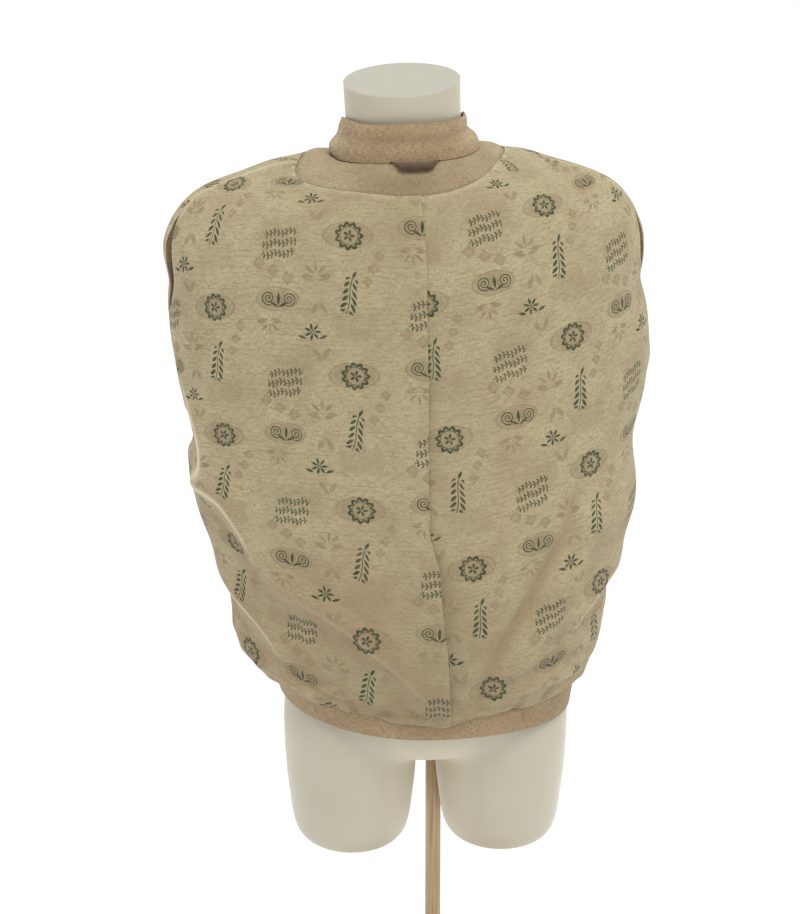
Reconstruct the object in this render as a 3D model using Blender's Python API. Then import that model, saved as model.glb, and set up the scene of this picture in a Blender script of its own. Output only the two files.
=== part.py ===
"""Alpine jacket worn inside out on a torso form with a post and base.

Metres, +Z up. X runs to the wearer's right and Y out of the wearer's front, so the jacket's back faces -Y.
The origin is on the floor, under the middle of the base.

The body of the jacket is one surface, measured by two numbers: "row", which runs from the neck seam (0) down
to the hem edge, and "turn", in degrees around the body. Turn is -270 at the centre front on the left, -180 at
the left side, -90 at the centre back, 0 at the right side and 90 at the centre front on the right. Each cut
piece is a patch of that surface, given its wall thickness inwards.
"""

import math
from collections import namedtuple

import bmesh
import bpy
from mathutils import Vector
from mathutils.kdtree import KDTree

# Stand
BASE_RADIUS = 0.150
BASE_HEIGHT = 0.020
BASE_EDGE = 0.004
POST_RADIUS = 0.009
POST_FORWARD = 0.040
POST_TOP = 0.420
FORM_SOCKET_DEPTH = 0.130
SOCKET_FLOOR = 0.006
CLEARANCE = 0.0003
POST_SIDES = 20
BASE_SIDES = 48

# Torso form: it leans a little to the left as it goes up
HIP_X = -0.014
HIP_Z = 0.410
LEAN = -0.037
SHOULDER_TILT = 0.014
NECK_TILT = 0.024
NECK_FOOT = 1.050
NECK_RISE = 0.040
NECK_PITCH = 0.10
FORM_RINGS = 26
FORM_SIDES = 32
THIGH_BACK = -0.010
RIGHT_THIGH_DROP = 0.003
THIGH_RINGS = 14
THIGH_SIDES = 24

# Cloth
WALL = 0.002
COLLAR_WALL = 0.0024
LOOP_WALL = 0.0012
SLEEVE_WALL = 0.0015
SEAM_GAP = 0.0003
LAP_LIFT = WALL + 2 * SEAM_GAP

# Seams on the body surface, in degrees of turn
LEFT_SIDE = -180.0
RIGHT_SIDE = 0.0
LEFT_FRONT = -270.0
RIGHT_FRONT = 90.0
FACING_WIDTH = 24.0
FRONT_LAP = 6.0
PLEAT_LAP = 5.0
LAP_RAMP = 4.0
NORMAL_STEP_ROW = 0.03
NORMAL_STEP_TURN = 1.5
ROW_STEP = 0.5
FRONT_COLUMNS = 8
BACK_COLUMNS = 11
FACING_COLUMNS = 3
LAP_COLUMNS = 2

# Collar: stands on the neck seam and narrows towards its top edge
COLLAR_ROWS = 3
COLLAR_FRONT_GAP = 1.5

# Hanger loop below the collar seam at the centre back
LOOP_HALF_TURN = 17.0
LOOP_START_ROW = 0.05
LOOP_DROP_ROWS = 0.24
LOOP_WIDTH_ROWS = 0.14
LOOP_BOW = 0.0026
LOOP_COLUMNS = 12

# Sleeves, tucked inside the body
MOUTH_GAP = 0.0005
SLEEVE_BACK = -0.010

# Scale of the body surface, for the reach of a fold
METRES_A_TURN = 0.0034
METRES_A_ROW = 0.046

FormRing = namedtuple("FormRing", "z half back front")
FORM = (
    FormRing(1.131, 0.0630, 0.058, 0.053),
    FormRing(1.092, 0.0622, 0.059, 0.054),
    FormRing(1.064, 0.0630, 0.062, 0.055),
    FormRing(1.050, 0.0670, 0.068, 0.057),
    FormRing(1.044, 0.0880, 0.080, 0.061),
    FormRing(1.038, 0.1250, 0.090, 0.069),
    FormRing(1.016, 0.1560, 0.099, 0.083),
    FormRing(0.980, 0.1710, 0.107, 0.098),
    FormRing(0.935, 0.1750, 0.114, 0.111),
    FormRing(0.870, 0.1700, 0.118, 0.117),
    FormRing(0.790, 0.1580, 0.110, 0.112),
    FormRing(0.700, 0.1420, 0.096, 0.100),
    FormRing(0.630, 0.1410, 0.096, 0.097),
    FormRing(0.550, 0.1510, 0.112, 0.099),
    FormRing(0.470, 0.1600, 0.126, 0.101),
    FormRing(0.415, 0.1605, 0.124, 0.098),
    FormRing(0.384, 0.1560, 0.110, 0.090),
    FormRing(0.366, 0.1380, 0.090, 0.076),
    FormRing(0.356, 0.0900, 0.060, 0.052),
    FormRing(0.353, 0.0300, 0.020, 0.018),
)

ThighRing = namedtuple("ThighRing", "z out half deep")
THIGH = (
    ThighRing(0.470, 0.076, 0.062, 0.080),
    ThighRing(0.420, 0.084, 0.0765, 0.090),
    ThighRing(0.370, 0.086, 0.0765, 0.090),
    ThighRing(0.330, 0.086, 0.0740, 0.086),
    ThighRing(0.297, 0.086, 0.0705, 0.081),
    ThighRing(0.270, 0.086, 0.0650, 0.075),
    ThighRing(0.254, 0.086, 0.0575, 0.066),
    ThighRing(0.244, 0.086, 0.0440, 0.051),
    ThighRing(0.240, 0.086, 0.0200, 0.024),
)

# Rows of the body: heights at the back, left, right and front, widths and depths from the leaning axis, and the
# side edge, which is 1 for an ellipse and more where front and back close to a flatter edge.
Section = namedtuple("Section", "back_z left_z right_z front_z left right back front edge")
SECTIONS = (
    Section(1.061, 1.050, 1.058, 1.034, 0.0790, 0.0805, 0.085, 0.084, 1.00),
    Section(1.033, 1.0505, 1.0535, 1.000, 0.1090, 0.1100, 0.117, 0.111, 1.05),
    Section(1.004, 1.032, 1.036, 0.968, 0.1760, 0.1770, 0.134, 0.125, 1.10),
    Section(0.965, 1.009, 1.010, 0.930, 0.2320, 0.2310, 0.145, 0.134, 1.16),
    Section(0.920, 0.964, 0.964, 0.890, 0.2640, 0.2570, 0.152, 0.140, 1.18),
    Section(0.875, 0.905, 0.905, 0.850, 0.2660, 0.2590, 0.156, 0.143, 1.16),
    Section(0.825, 0.845, 0.845, 0.810, 0.2640, 0.2640, 0.158, 0.145, 1.12),
    Section(0.775, 0.785, 0.785, 0.765, 0.2560, 0.2590, 0.160, 0.146, 1.06),
    Section(0.710, 0.715, 0.715, 0.705, 0.2520, 0.2470, 0.162, 0.146, 1.02),
    Section(0.652, 0.655, 0.655, 0.650, 0.2490, 0.2460, 0.164, 0.146, 1.00),
    Section(0.598, 0.600, 0.600, 0.598, 0.2330, 0.2290, 0.165, 0.145, 1.00),
    Section(0.543, 0.545, 0.545, 0.543, 0.2190, 0.2130, 0.165, 0.143, 1.00),
    Section(0.492, 0.497, 0.488, 0.490, 0.2130, 0.2010, 0.162, 0.139, 0.98),
    Section(0.464, 0.474, 0.463, 0.462, 0.2010, 0.1890, 0.157, 0.133, 0.95),
    Section(0.446, 0.459, 0.446, 0.447, 0.1760, 0.1740, 0.145, 0.122, 0.87),
    Section(0.415, 0.430, 0.407, 0.416, 0.1655, 0.1650, 0.139, 0.118, 0.86),
)
FACING_ROW = 1
HEM_SEAM_ROW = len(SECTIONS) - 2
HEM_ROW = len(SECTIONS) - 1

# Collar rings: height over the neck seam, and how much narrower than the seam
CollarRing = namedtuple("CollarRing", "up narrower_side narrower_back")
COLLAR = (
    CollarRing(0.0004, 0.0000, 0.0000),
    CollarRing(0.0120, 0.0010, 0.0020),
    CollarRing(0.0250, 0.0075, 0.0075),
    CollarRing(0.0370, 0.0115, 0.0130),
)

# The pleat's fold edge runs down the centre back, a little to the right at the hem
PleatPoint = namedtuple("PleatPoint", "row turn")
PLEAT = (
    PleatPoint(1.0, -87.6),
    PleatPoint(5.0, -88.8),
    PleatPoint(8.0, -90.6),
    PleatPoint(11.0, -86.0),
    PleatPoint(14.0, -84.6),
)

# Armholes: long slits at the shoulder, as far back and forward of the side as given in degrees.
# They start and end on rows of the panels' own points.
Armhole = namedtuple("Armhole", "side top bottom back front")
LEFT_ARMHOLE = Armhole(LEFT_SIDE, 2.5, 6.5, 19.0, 6.0)
RIGHT_ARMHOLE = Armhole(RIGHT_SIDE, 2.0, 6.0, 18.0, 6.0)

# Rings of a tucked sleeve below its armhole: height, how much higher the inner side is, centre and half sizes
SleeveRing = namedtuple("SleeveRing", "z rise out half deep")
SLEEVE = (
    SleeveRing(0.915, 0.050, 0.224, 0.015, 0.026),
    SleeveRing(0.880, 0.030, 0.211, 0.018, 0.042),
    SleeveRing(0.835, 0.012, 0.199, 0.021, 0.054),
    SleeveRing(0.770, 0.004, 0.191, 0.021, 0.058),
    SleeveRing(0.690, 0.002, 0.191, 0.020, 0.058),
    SleeveRing(0.620, 0.000, 0.191, 0.017, 0.056),
    SleeveRing(0.570, 0.000, 0.190, 0.014, 0.052),
    SleeveRing(0.530, 0.000, 0.188, 0.012, 0.048),
)

# Largest folds of the cloth: a line on the body surface, its depth (out is positive) and half width
Fold = namedtuple("Fold", "turn_a row_a turn_b row_b depth reach")
FOLDS = (
    Fold(-174.0, 8.1, -142.0, 9.4, 0.0075, 0.020),
    Fold(-148.0, 9.1, -96.0, 12.2, 0.0060, 0.020),
    Fold(-170.0, 9.4, -122.0, 11.9, -0.0065, 0.022),
    Fold(-168.0, 10.5, -140.0, 11.6, 0.0055, 0.015),
    Fold(-52.0, 8.6, -78.0, 13.6, -0.0060, 0.018),
    Fold(-40.0, 9.0, -66.0, 13.0, 0.0045, 0.016),
    Fold(-14.0, 10.5, -40.0, 11.6, 0.0055, 0.015),
    Fold(-44.0, 11.8, -78.0, 12.9, 0.0040, 0.013),
    Fold(-174.0, 7.0, -166.0, 8.3, -0.0055, 0.014),
    Fold(150.0, 8.4, 112.0, 12.2, 0.0060, 0.022),
    Fold(170.0, 10.2, 140.0, 12.0, -0.0050, 0.018),
    Fold(22.0, 8.8, 64.0, 12.4, 0.0060, 0.022),
    Fold(12.0, 10.4, 40.0, 12.0, -0.0050, 0.018),
)

Paint = namedtuple("Paint", "red green blue roughness")
PAINTS = {
    "lining": Paint(0.40, 0.33, 0.20, 0.90),
    "shell": Paint(0.35, 0.26, 0.15, 0.88),
    "form": Paint(0.75, 0.72, 0.62, 0.45),
    "wood": Paint(0.45, 0.31, 0.18, 0.55),
}


def clear_scene():
    """Remove whatever the scene holds."""
    for obj in list(bpy.data.objects):
        bpy.data.objects.remove(obj, do_unlink=True)


def make_collection(name):
    """Return a new collection, linked to the scene."""
    collection = bpy.data.collections.new(name)
    bpy.context.scene.collection.children.link(collection)
    return collection


def make_material(name, paint):
    """Return a Principled material of one colour and roughness."""
    material = bpy.data.materials.new(name)
    material.use_nodes = True
    shader = material.node_tree.nodes["Principled BSDF"]
    shader.inputs["Base Color"].default_value = (paint.red, paint.green, paint.blue, 1.0)
    shader.inputs["Roughness"].default_value = paint.roughness
    shader.inputs["Metallic"].default_value = 0.0
    return material


def add_object(name, bm, collection, material, smooth_angle=40.0):
    """Turn a bmesh into a named object with smooth shading and one material."""
    bmesh.ops.recalc_face_normals(bm, faces=bm.faces[:])
    if bm.calc_volume(signed=True) < 0.0:
        bmesh.ops.reverse_faces(bm, faces=bm.faces[:])
    mesh = bpy.data.meshes.new(name)
    bm.to_mesh(mesh)
    bm.free()
    mesh.materials.append(material)
    mesh.shade_smooth()
    mesh.set_sharp_from_angle(angle=math.radians(smooth_angle))
    obj = bpy.data.objects.new(name, mesh)
    collection.objects.link(obj)
    return obj


def smooth_step(value):
    """Ease from 0 to 1 as value goes from 0 to 1."""
    value = min(1.0, max(0.0, value))
    return value * value * (3.0 - 2.0 * value)


def between(rows, place):
    """Catmull-Rom value of a table of equal named tuples at a fractional row number."""
    last = len(rows) - 1
    place = min(float(last), max(0.0, place))
    first = min(int(place), last - 1)
    t = place - first
    before, start, end, after = (rows[min(last, max(0, first + k))] for k in (-1, 0, 1, 2))
    values = []
    for p0, p1, p2, p3 in zip(before, start, end, after):
        straight = (p2 - p0) * t
        bend = (2.0 * p0 - 5.0 * p1 + 4.0 * p2 - p3) * t * t
        twist = (3.0 * p1 - p0 - 3.0 * p2 + p3) * t * t * t
        values.append(p1 + 0.5 * (straight + bend + twist))
    return type(start)(*values)


def axis_x(z):
    """Where the leaning middle of form and jacket lies at a height."""
    return HIP_X + LEAN * (z - HIP_Z)


def grid_mesh(points):
    """An open bmesh grid through rows of points, made from a grid primitive."""
    rows = len(points) - 1
    columns = len(points[0]) - 1
    bm = bmesh.new()
    bmesh.ops.create_grid(bm, x_segments=columns, y_segments=rows, size=1.0)
    for vertex in bm.verts:
        column = round((vertex.co.x + 1.0) / 2.0 * columns)
        row = round((vertex.co.y + 1.0) / 2.0 * rows)
        vertex.co = points[row][column]
    return bm


def wall_mesh(outer, inner, tube=False):
    """A closed wall between two equal grids of points: the outer grid extruded to the inner one."""
    bm = grid_mesh(outer)
    if tube:
        bmesh.ops.remove_doubles(bm, verts=bm.verts[:], dist=1e-6)
    pairs = [pair for lines in zip(outer, inner) for pair in zip(*lines)]
    tree = KDTree(len(pairs))
    for index, (point, _) in enumerate(pairs):
        tree.insert(point, index)
    tree.balance()
    made = bmesh.ops.extrude_face_region(bm, geom=bm.faces[:])
    for vertex in (part for part in made["geom"] if isinstance(part, bmesh.types.BMVert)):
        vertex.co = pairs[tree.find(vertex.co)[1]][1]
    return bm


def closed_loft(rings):
    """A closed solid through rings of points, with a flat cap at each end."""
    wrapped = [list(ring) + [ring[0]] for ring in rings]
    bm = grid_mesh(wrapped)
    bmesh.ops.remove_doubles(bm, verts=bm.verts[:], dist=1e-6)
    bmesh.ops.holes_fill(bm, edges=[edge for edge in bm.edges if edge.is_boundary], sides=0)
    return bm


def circle_angles(count):
    """Angles of an even circle, in radians."""
    return [2.0 * math.pi * k / count for k in range(count)]


# Torso form and stand


def form_ring(place):
    """One ring of the torso: an oval with its own depth at the back and the front."""
    ring = between(FORM, place)
    points = []
    for angle in circle_angles(FORM_SIDES):
        deep = ring.front if math.sin(angle) >= 0.0 else ring.back
        across = ring.half * math.cos(angle)
        along = deep * math.sin(angle)
        up_neck = smooth_step((ring.z - NECK_FOOT) / NECK_RISE)
        tilt = SHOULDER_TILT * smooth_step((ring.z - HIP_Z) / (FORM[0].z - HIP_Z)) + NECK_TILT * up_neck
        z = ring.z + tilt * across + NECK_PITCH * up_neck * along
        points.append(Vector((axis_x(ring.z) + across, along, z)))
    return points


def thigh_ring(place, side):
    """One ring of a thigh stump. The right one ends a little lower."""
    ring = between(THIGH, place)
    drop = RIGHT_THIGH_DROP if side > 0.0 else 0.0
    points = []
    for angle in circle_angles(THIGH_SIDES):
        x = HIP_X + side * ring.out + ring.half * math.cos(angle)
        y = THIGH_BACK + ring.deep * math.sin(angle)
        points.append(Vector((x, y, ring.z - drop)))
    return points


def even_places(rows, count):
    """Evenly spaced row numbers from the first row of a table to the last."""
    return [(len(rows) - 1) * k / count for k in range(count + 1)]


def add_boolean(obj, operation, other):
    """Join or cut an object by a hidden helper."""
    modifier = obj.modifiers.new(operation.title(), "BOOLEAN")
    modifier.operation = operation
    modifier.object = other
    other.hide_render = True
    other.display_type = "WIRE"


def make_post_hole(name, bottom, top, cutters, material):
    """A cutter a little wider than the post, for the socket that holds it."""
    bm = bmesh.new()
    radius = POST_RADIUS + CLEARANCE
    bmesh.ops.create_cone(
        bm, cap_ends=True, segments=POST_SIDES, radius1=radius, radius2=radius, depth=top - bottom
    )
    bmesh.ops.translate(bm, verts=bm.verts[:], vec=(0.0, POST_FORWARD, (top + bottom) / 2.0))
    return add_object(name, bm, cutters, material)


def make_form(parts, cutters, material):
    """The smooth torso with its two thigh stumps and the socket for the post."""
    torso = closed_loft([form_ring(place) for place in even_places(FORM, FORM_RINGS)])
    form = add_object("form_torso", torso, parts, material)
    for side, name in ((-1.0, "thigh_left_join"), (1.0, "thigh_right_join")):
        rings = [thigh_ring(place, side) for place in even_places(THIGH, THIGH_RINGS)]
        add_boolean(form, "UNION", add_object(name, closed_loft(rings), cutters, material))
    mouth = POST_TOP - FORM_SOCKET_DEPTH
    hole = make_post_hole("form_socket_cut", mouth, POST_TOP + CLEARANCE, cutters, material)
    add_boolean(form, "DIFFERENCE", hole)
    return form


def make_post(parts, material):
    """The round wooden post, from its socket in the base to its socket in the form."""
    bottom = SOCKET_FLOOR + CLEARANCE
    bm = bmesh.new()
    bmesh.ops.create_cone(
        bm,
        cap_ends=True,
        segments=POST_SIDES,
        radius1=POST_RADIUS,
        radius2=POST_RADIUS,
        depth=POST_TOP - bottom,
    )
    bmesh.ops.translate(bm, verts=bm.verts[:], vec=(0.0, POST_FORWARD, (POST_TOP + bottom) / 2.0))
    return add_object("stand_post", bm, parts, material)


def make_base(parts, cutters, material):
    """The plain round base plate with a rounded upper edge and the socket for the post."""
    bm = bmesh.new()
    bmesh.ops.create_cone(
        bm,
        cap_ends=True,
        segments=BASE_SIDES,
        radius1=BASE_RADIUS,
        radius2=BASE_RADIUS,
        depth=BASE_HEIGHT,
    )
    bmesh.ops.translate(bm, verts=bm.verts[:], vec=(0.0, 0.0, BASE_HEIGHT / 2.0))
    rim = [edge for edge in bm.edges if all(v.co.z > BASE_HEIGHT - BASE_EDGE for v in edge.verts)]
    bmesh.ops.bevel(bm, geom=rim, offset=BASE_EDGE, segments=2, affect="EDGES", profile=0.5)
    base = add_object("stand_base", bm, parts, material)
    hole = make_post_hole("base_socket_cut", SOCKET_FLOOR, BASE_HEIGHT * 2.0, cutters, material)
    add_boolean(base, "DIFFERENCE", hole)
    return base


# Body surface of the jacket


def fold_height(row, turn):
    """How far the largest folds move the cloth out at a place on the body."""
    height = 0.0
    for fold in FOLDS:
        along_x = (fold.turn_b - fold.turn_a) * METRES_A_TURN
        along_y = (fold.row_b - fold.row_a) * METRES_A_ROW
        for whole in (-360.0, 0.0, 360.0):
            x = (turn + whole - fold.turn_a) * METRES_A_TURN
            y = (row - fold.row_a) * METRES_A_ROW
            share = (x * along_x + y * along_y) / (along_x**2 + along_y**2)
            if not 0.0 < share < 1.0:
                continue
            across = (x * along_y - y * along_x) / math.hypot(along_x, along_y)
            fade = math.sin(math.pi * share) ** 0.6
            height += fold.depth * fade * math.exp(-((across / fold.reach) ** 2))
    return height


def smooth_point(row, turn):
    """A point of the body surface before the folds."""
    section = between(SECTIONS, row)
    angle = math.radians(turn)
    across, along = math.cos(angle), math.sin(angle)
    half = section.right if across >= 0.0 else section.left
    side_z = section.right_z if across >= 0.0 else section.left_z
    deep, middle_z = (section.front, section.front_z) if along >= 0.0 else (section.back, section.back_z)
    z = side_z * across**2 + middle_z * along**2
    y = math.copysign(deep * abs(along) ** section.edge, along)
    return Vector((axis_x(z) + half * across, y, z))


def outward(row, turn, point):
    """The cloth's outward normal, from neighbouring points of a surface."""
    low = max(0.0, row - NORMAL_STEP_ROW)
    high = min(float(HEM_ROW), row + NORMAL_STEP_ROW)
    down = point(high, turn) - point(low, turn)
    round_body = point(row, turn + NORMAL_STEP_TURN) - point(row, turn - NORMAL_STEP_TURN)
    return down.cross(round_body).normalized()


def folded_point(row, turn):
    """A point of the body surface with the folds in it."""
    point = smooth_point(row, turn)
    height = fold_height(row, turn)
    if height:
        point = point + outward(row, turn, smooth_point) * height
    return point


def pleat_turn(row):
    """Where the pleat's fold edge lies on a row."""
    row = min(PLEAT[-1].row, max(PLEAT[0].row, row))
    for start, end in zip(PLEAT, PLEAT[1:]):
        if row <= end.row:
            share = smooth_step((row - start.row) / (end.row - start.row))
            return start.turn + (end.turn - start.turn) * share
    return PLEAT[-1].turn


def slit(armhole, row):
    """How wide open an armhole is on a row, from 0 to 1."""
    middle = (armhole.top + armhole.bottom) / 2.0
    share = (row - middle) / ((armhole.bottom - armhole.top) / 2.0)
    return math.cos(math.pi / 2.0 * share) if abs(share) < 1.0 else 0.0


def columns_between(start, end, count):
    """Evenly spaced turns from start to end."""
    return [start + (end - start) * k / count for k in range(count + 1)]


def left_facing_columns(row):
    """Turns of the left front facing, from its lapped edge to its seam."""
    edge = columns_between(LEFT_FRONT - FRONT_LAP, LEFT_FRONT + FRONT_LAP, LAP_COLUMNS)
    seam = LEFT_FRONT + FACING_WIDTH
    return edge[:-1] + columns_between(LEFT_FRONT + FRONT_LAP, seam, FACING_COLUMNS)


def left_front_columns(row):
    """Turns of the left front, from the facing seam to the side or armhole."""
    side = LEFT_SIDE - LEFT_ARMHOLE.front * slit(LEFT_ARMHOLE, row)
    return columns_between(LEFT_FRONT + FACING_WIDTH, side, FRONT_COLUMNS)


def left_back_columns(row):
    """Turns of the left back, from the side or armhole to the pleat's fold edge."""
    side = LEFT_SIDE + LEFT_ARMHOLE.back * slit(LEFT_ARMHOLE, row)
    pleat = pleat_turn(row)
    lap = columns_between(pleat - PLEAT_LAP, pleat, LAP_COLUMNS)
    ramp = pleat - PLEAT_LAP - LAP_RAMP
    return columns_between(side, ramp, BACK_COLUMNS) + lap


def right_back_columns(row):
    """Turns of the right back, from below the pleat's lap to the side or armhole."""
    side = RIGHT_SIDE - RIGHT_ARMHOLE.back * slit(RIGHT_ARMHOLE, row)
    pleat = pleat_turn(row)
    lap = columns_between(pleat - PLEAT_LAP, pleat, LAP_COLUMNS)
    return lap[:-1] + columns_between(pleat, side, BACK_COLUMNS)


def right_front_columns(row):
    """Turns of the right front, from the side or armhole to the facing seam."""
    side = RIGHT_SIDE + RIGHT_ARMHOLE.front * slit(RIGHT_ARMHOLE, row)
    return columns_between(side, RIGHT_FRONT - FACING_WIDTH, FRONT_COLUMNS)


def right_facing_columns(row):
    """Turns of the right front facing, from its seam to its lapped edge."""
    edge = columns_between(RIGHT_FRONT - FRONT_LAP, RIGHT_FRONT + FRONT_LAP, LAP_COLUMNS)
    ramp = RIGHT_FRONT - FRONT_LAP - LAP_RAMP
    return columns_between(RIGHT_FRONT - FACING_WIDTH, ramp, FACING_COLUMNS) + edge


def all_round_columns(row):
    """Turns of a band that runs all round the body, on the panels' own columns."""
    turns = []
    for columns in (
        left_facing_columns,
        left_front_columns,
        left_back_columns,
        right_back_columns,
        right_front_columns,
        right_facing_columns,
    ):
        turns += columns(row)
    return sorted(set(round(turn, 6) for turn in turns))


def front_lap_lift(row, turn):
    """The right front lies over the left one at the centre front."""
    return LAP_LIFT * smooth_step((turn - (RIGHT_FRONT - FRONT_LAP - LAP_RAMP)) / LAP_RAMP)


def pleat_lap_lift(row, turn):
    """The left back lies over the right one at the pleat."""
    return LAP_LIFT * smooth_step((turn - (pleat_turn(row) - PLEAT_LAP - LAP_RAMP)) / LAP_RAMP)


def no_lift(row, turn):
    """Cloth that lies on the body surface itself."""
    return 0.0


def pull_in(points, distance):
    """Move a grid's border in along the cloth, to leave half a seam gap on each side."""
    rows = [list(line) for line in points]
    for line in rows:
        line[0] = line[0] + (line[1] - line[0]).normalized() * distance
        line[-1] = line[-1] + (line[-2] - line[-1]).normalized() * distance
    for column in range(len(rows[0])):
        down = (points[1][column] - points[0][column]).normalized()
        up = (points[-2][column] - points[-1][column]).normalized()
        rows[0][column] = rows[0][column] + down * distance
        rows[-1][column] = rows[-1][column] + up * distance
    return rows


def make_panel(name, parts, material, columns, row_range, lift=no_lift):
    """A cut piece of the body: a patch of the surface with the wall behind it."""
    first, last = row_range
    outer, inner = [], []
    for step in range(round((last - first) / ROW_STEP) + 1):
        row = first + ROW_STEP * step
        turns = columns(row)
        places = [folded_point(row, turn) for turn in turns]
        normals = [outward(row, turn, folded_point) for turn in turns]
        heights = [lift(row, turn) for turn in turns]
        outer.append([p + n * h for p, n, h in zip(places, normals, heights)])
        inner.append([p + n * (h - WALL) for p, n, h in zip(places, normals, heights)])
    half_gap = SEAM_GAP / 2.0
    bm = wall_mesh(pull_in(outer, half_gap), pull_in(inner, half_gap))
    return add_object(name, bm, parts, material)


def make_body(parts, lining, shell):
    """The lining panels, the facings and the hem band."""
    body_rows = (FACING_ROW, HEM_SEAM_ROW)
    panels = (
        ("back_left", lining, left_back_columns, pleat_lap_lift),
        ("back_right", lining, right_back_columns, no_lift),
        ("front_left", lining, left_front_columns, no_lift),
        ("front_right", lining, right_front_columns, no_lift),
        ("front_facing_left", shell, left_facing_columns, no_lift),
        ("front_facing_right", shell, right_facing_columns, front_lap_lift),
    )
    for name, cloth, columns, lift in panels:
        make_panel(name, parts, cloth, columns, body_rows, lift)

    def neck_columns(row):
        """The neck facing keeps the panels' columns of its lower seam."""
        return all_round_columns(float(FACING_ROW))

    def hem_columns(row):
        """The hem band keeps the panels' columns of its upper seam."""
        return all_round_columns(float(HEM_SEAM_ROW))

    make_panel("neck_facing", parts, shell, neck_columns, (0, FACING_ROW), front_lap_lift)
    make_panel("hem_band", parts, shell, hem_columns, (HEM_SEAM_ROW, HEM_ROW), front_lap_lift)


# Collar, hanger loop and sleeves


def collar_point(place, turn, inset):
    """A point of the stand collar, over the neck seam and moved in by inset."""
    ring = between(COLLAR, place)
    seam = smooth_point(0.0, turn)
    angle = math.radians(turn)
    middle = axis_x(seam.z)
    narrower_x = (ring.narrower_side + inset) * math.cos(angle)
    narrower_y = (ring.narrower_back + inset) * math.sin(angle)
    lean = LEAN * ring.up
    x = middle + (seam.x - middle) - narrower_x + lean
    return Vector((x, seam.y - narrower_y, seam.z + ring.up))


def make_collar(parts, material):
    """The stand collar, open at the centre front."""
    turns = [
        turn
        for turn in all_round_columns(float(FACING_ROW))
        if LEFT_FRONT + COLLAR_FRONT_GAP * 2.0 < turn < RIGHT_FRONT - COLLAR_FRONT_GAP * 2.0
    ]
    turns = [LEFT_FRONT + COLLAR_FRONT_GAP] + turns + [RIGHT_FRONT - COLLAR_FRONT_GAP]
    places = even_places(COLLAR, COLLAR_ROWS)
    outer = [[collar_point(place, turn, 0.0) for turn in turns] for place in places]
    inner = [[collar_point(place, turn, COLLAR_WALL) for turn in turns] for place in places]
    return add_object("collar", wall_mesh(outer, inner), parts, material)


def make_loop(parts, material):
    """The hanger loop: a narrow strip caught in the collar seam at both ends, bowed out between them."""
    outer, inner = [], []
    for edge in (0.0, 0.5, 1.0):
        outer_line, inner_line = [], []
        for step in range(LOOP_COLUMNS + 1):
            share = 2.0 * step / LOOP_COLUMNS - 1.0
            sag = math.cos(math.pi / 2.0 * share)
            turn = -90.0 + LOOP_HALF_TURN * share
            row = LOOP_START_ROW + LOOP_DROP_ROWS * sag + LOOP_WIDTH_ROWS * edge
            point = smooth_point(row, turn)
            normal = outward(row, turn, smooth_point)
            height = SEAM_GAP + LOOP_BOW * sag
            outer_line.append(point + normal * (height + LOOP_WALL))
            inner_line.append(point + normal * height)
        outer.append(outer_line)
        inner.append(inner_line)
    return add_object("hanger_loop", wall_mesh(outer, inner), parts, material)


def mouth_ring(armhole):
    """Points and normals round an armhole's edge: from its top down the back, then up the front."""
    steps = round((armhole.bottom - armhole.top) / ROW_STEP)
    backwards = 1.0 if armhole.side == LEFT_SIDE else -1.0
    ring = []
    for step in range(2 * steps):
        down = step if step <= steps else 2 * steps - step
        row = armhole.top + ROW_STEP * down
        reach = armhole.back if step <= steps else -armhole.front
        turn = armhole.side + backwards * reach * slit(armhole, row)
        ring.append((folded_point(row, turn), outward(row, turn, folded_point)))
    return ring


def hanging_ring(ring, side, count, inset):
    """A ring of the sleeve where it hangs between the form and the body of the jacket."""
    points = []
    for angle in circle_angles(count):
        z = ring.z + ring.rise * math.cos(angle)
        out = ring.out - (ring.half - inset) * math.cos(angle)
        y = SLEEVE_BACK - (ring.deep - inset) * math.sin(angle)
        points.append(Vector((axis_x(z) + side * out, y, z)))
    return points


def make_sleeve(name, armhole, parts, material):
    """A sleeve tucked inside: its mouth sits behind the armhole, and it hangs down to an open cuff."""
    side = -1.0 if armhole.side == LEFT_SIDE else 1.0
    mouth = mouth_ring(armhole)
    behind = WALL + MOUTH_GAP
    outer = [[point - normal * behind for point, normal in mouth]]
    count = len(mouth)
    centre = sum(outer[0], Vector()) / count
    inner = [[point + (centre - point).normalized() * SLEEVE_WALL for point in outer[0]]]
    for ring in SLEEVE:
        outer.append(hanging_ring(ring, side, count, 0.0))
        inner.append(hanging_ring(ring, side, count, SLEEVE_WALL))
    wrapped = [[ring + [ring[0]] for ring in rings] for rings in (outer, inner)]
    bm = wall_mesh(*wrapped, tube=True)
    return add_object(name, bm, parts, material)


def main():
    """Build every piece in one collection, and the helpers in another."""
    clear_scene()
    parts = make_collection("alpine_jacket_on_form")
    cutters = make_collection("cutters")
    paint = {name: make_material(name, value) for name, value in PAINTS.items()}
    make_base(parts, cutters, paint["wood"])
    make_post(parts, paint["wood"])
    make_form(parts, cutters, paint["form"])
    make_body(parts, paint["lining"], paint["shell"])
    make_collar(parts, paint["shell"])
    make_loop(parts, paint["shell"])
    make_sleeve("sleeve_left", LEFT_ARMHOLE, parts, paint["shell"])
    make_sleeve("sleeve_right", RIGHT_ARMHOLE, parts, paint["shell"])


main()
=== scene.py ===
"""Looks of the alpine jacket, worn inside out on a torso form with a post and base.

Metres, +Z up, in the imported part's own frame: X to the wearer's right, Y out of the front, the back faces -Y.
Places on the jacket's body are given by "row", from the neck seam (0) to the hem edge (15), and "turn", in
degrees: -270 centre front left, -180 left side, -90 centre back, 0 right side, 90 centre front right.
"""

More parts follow.
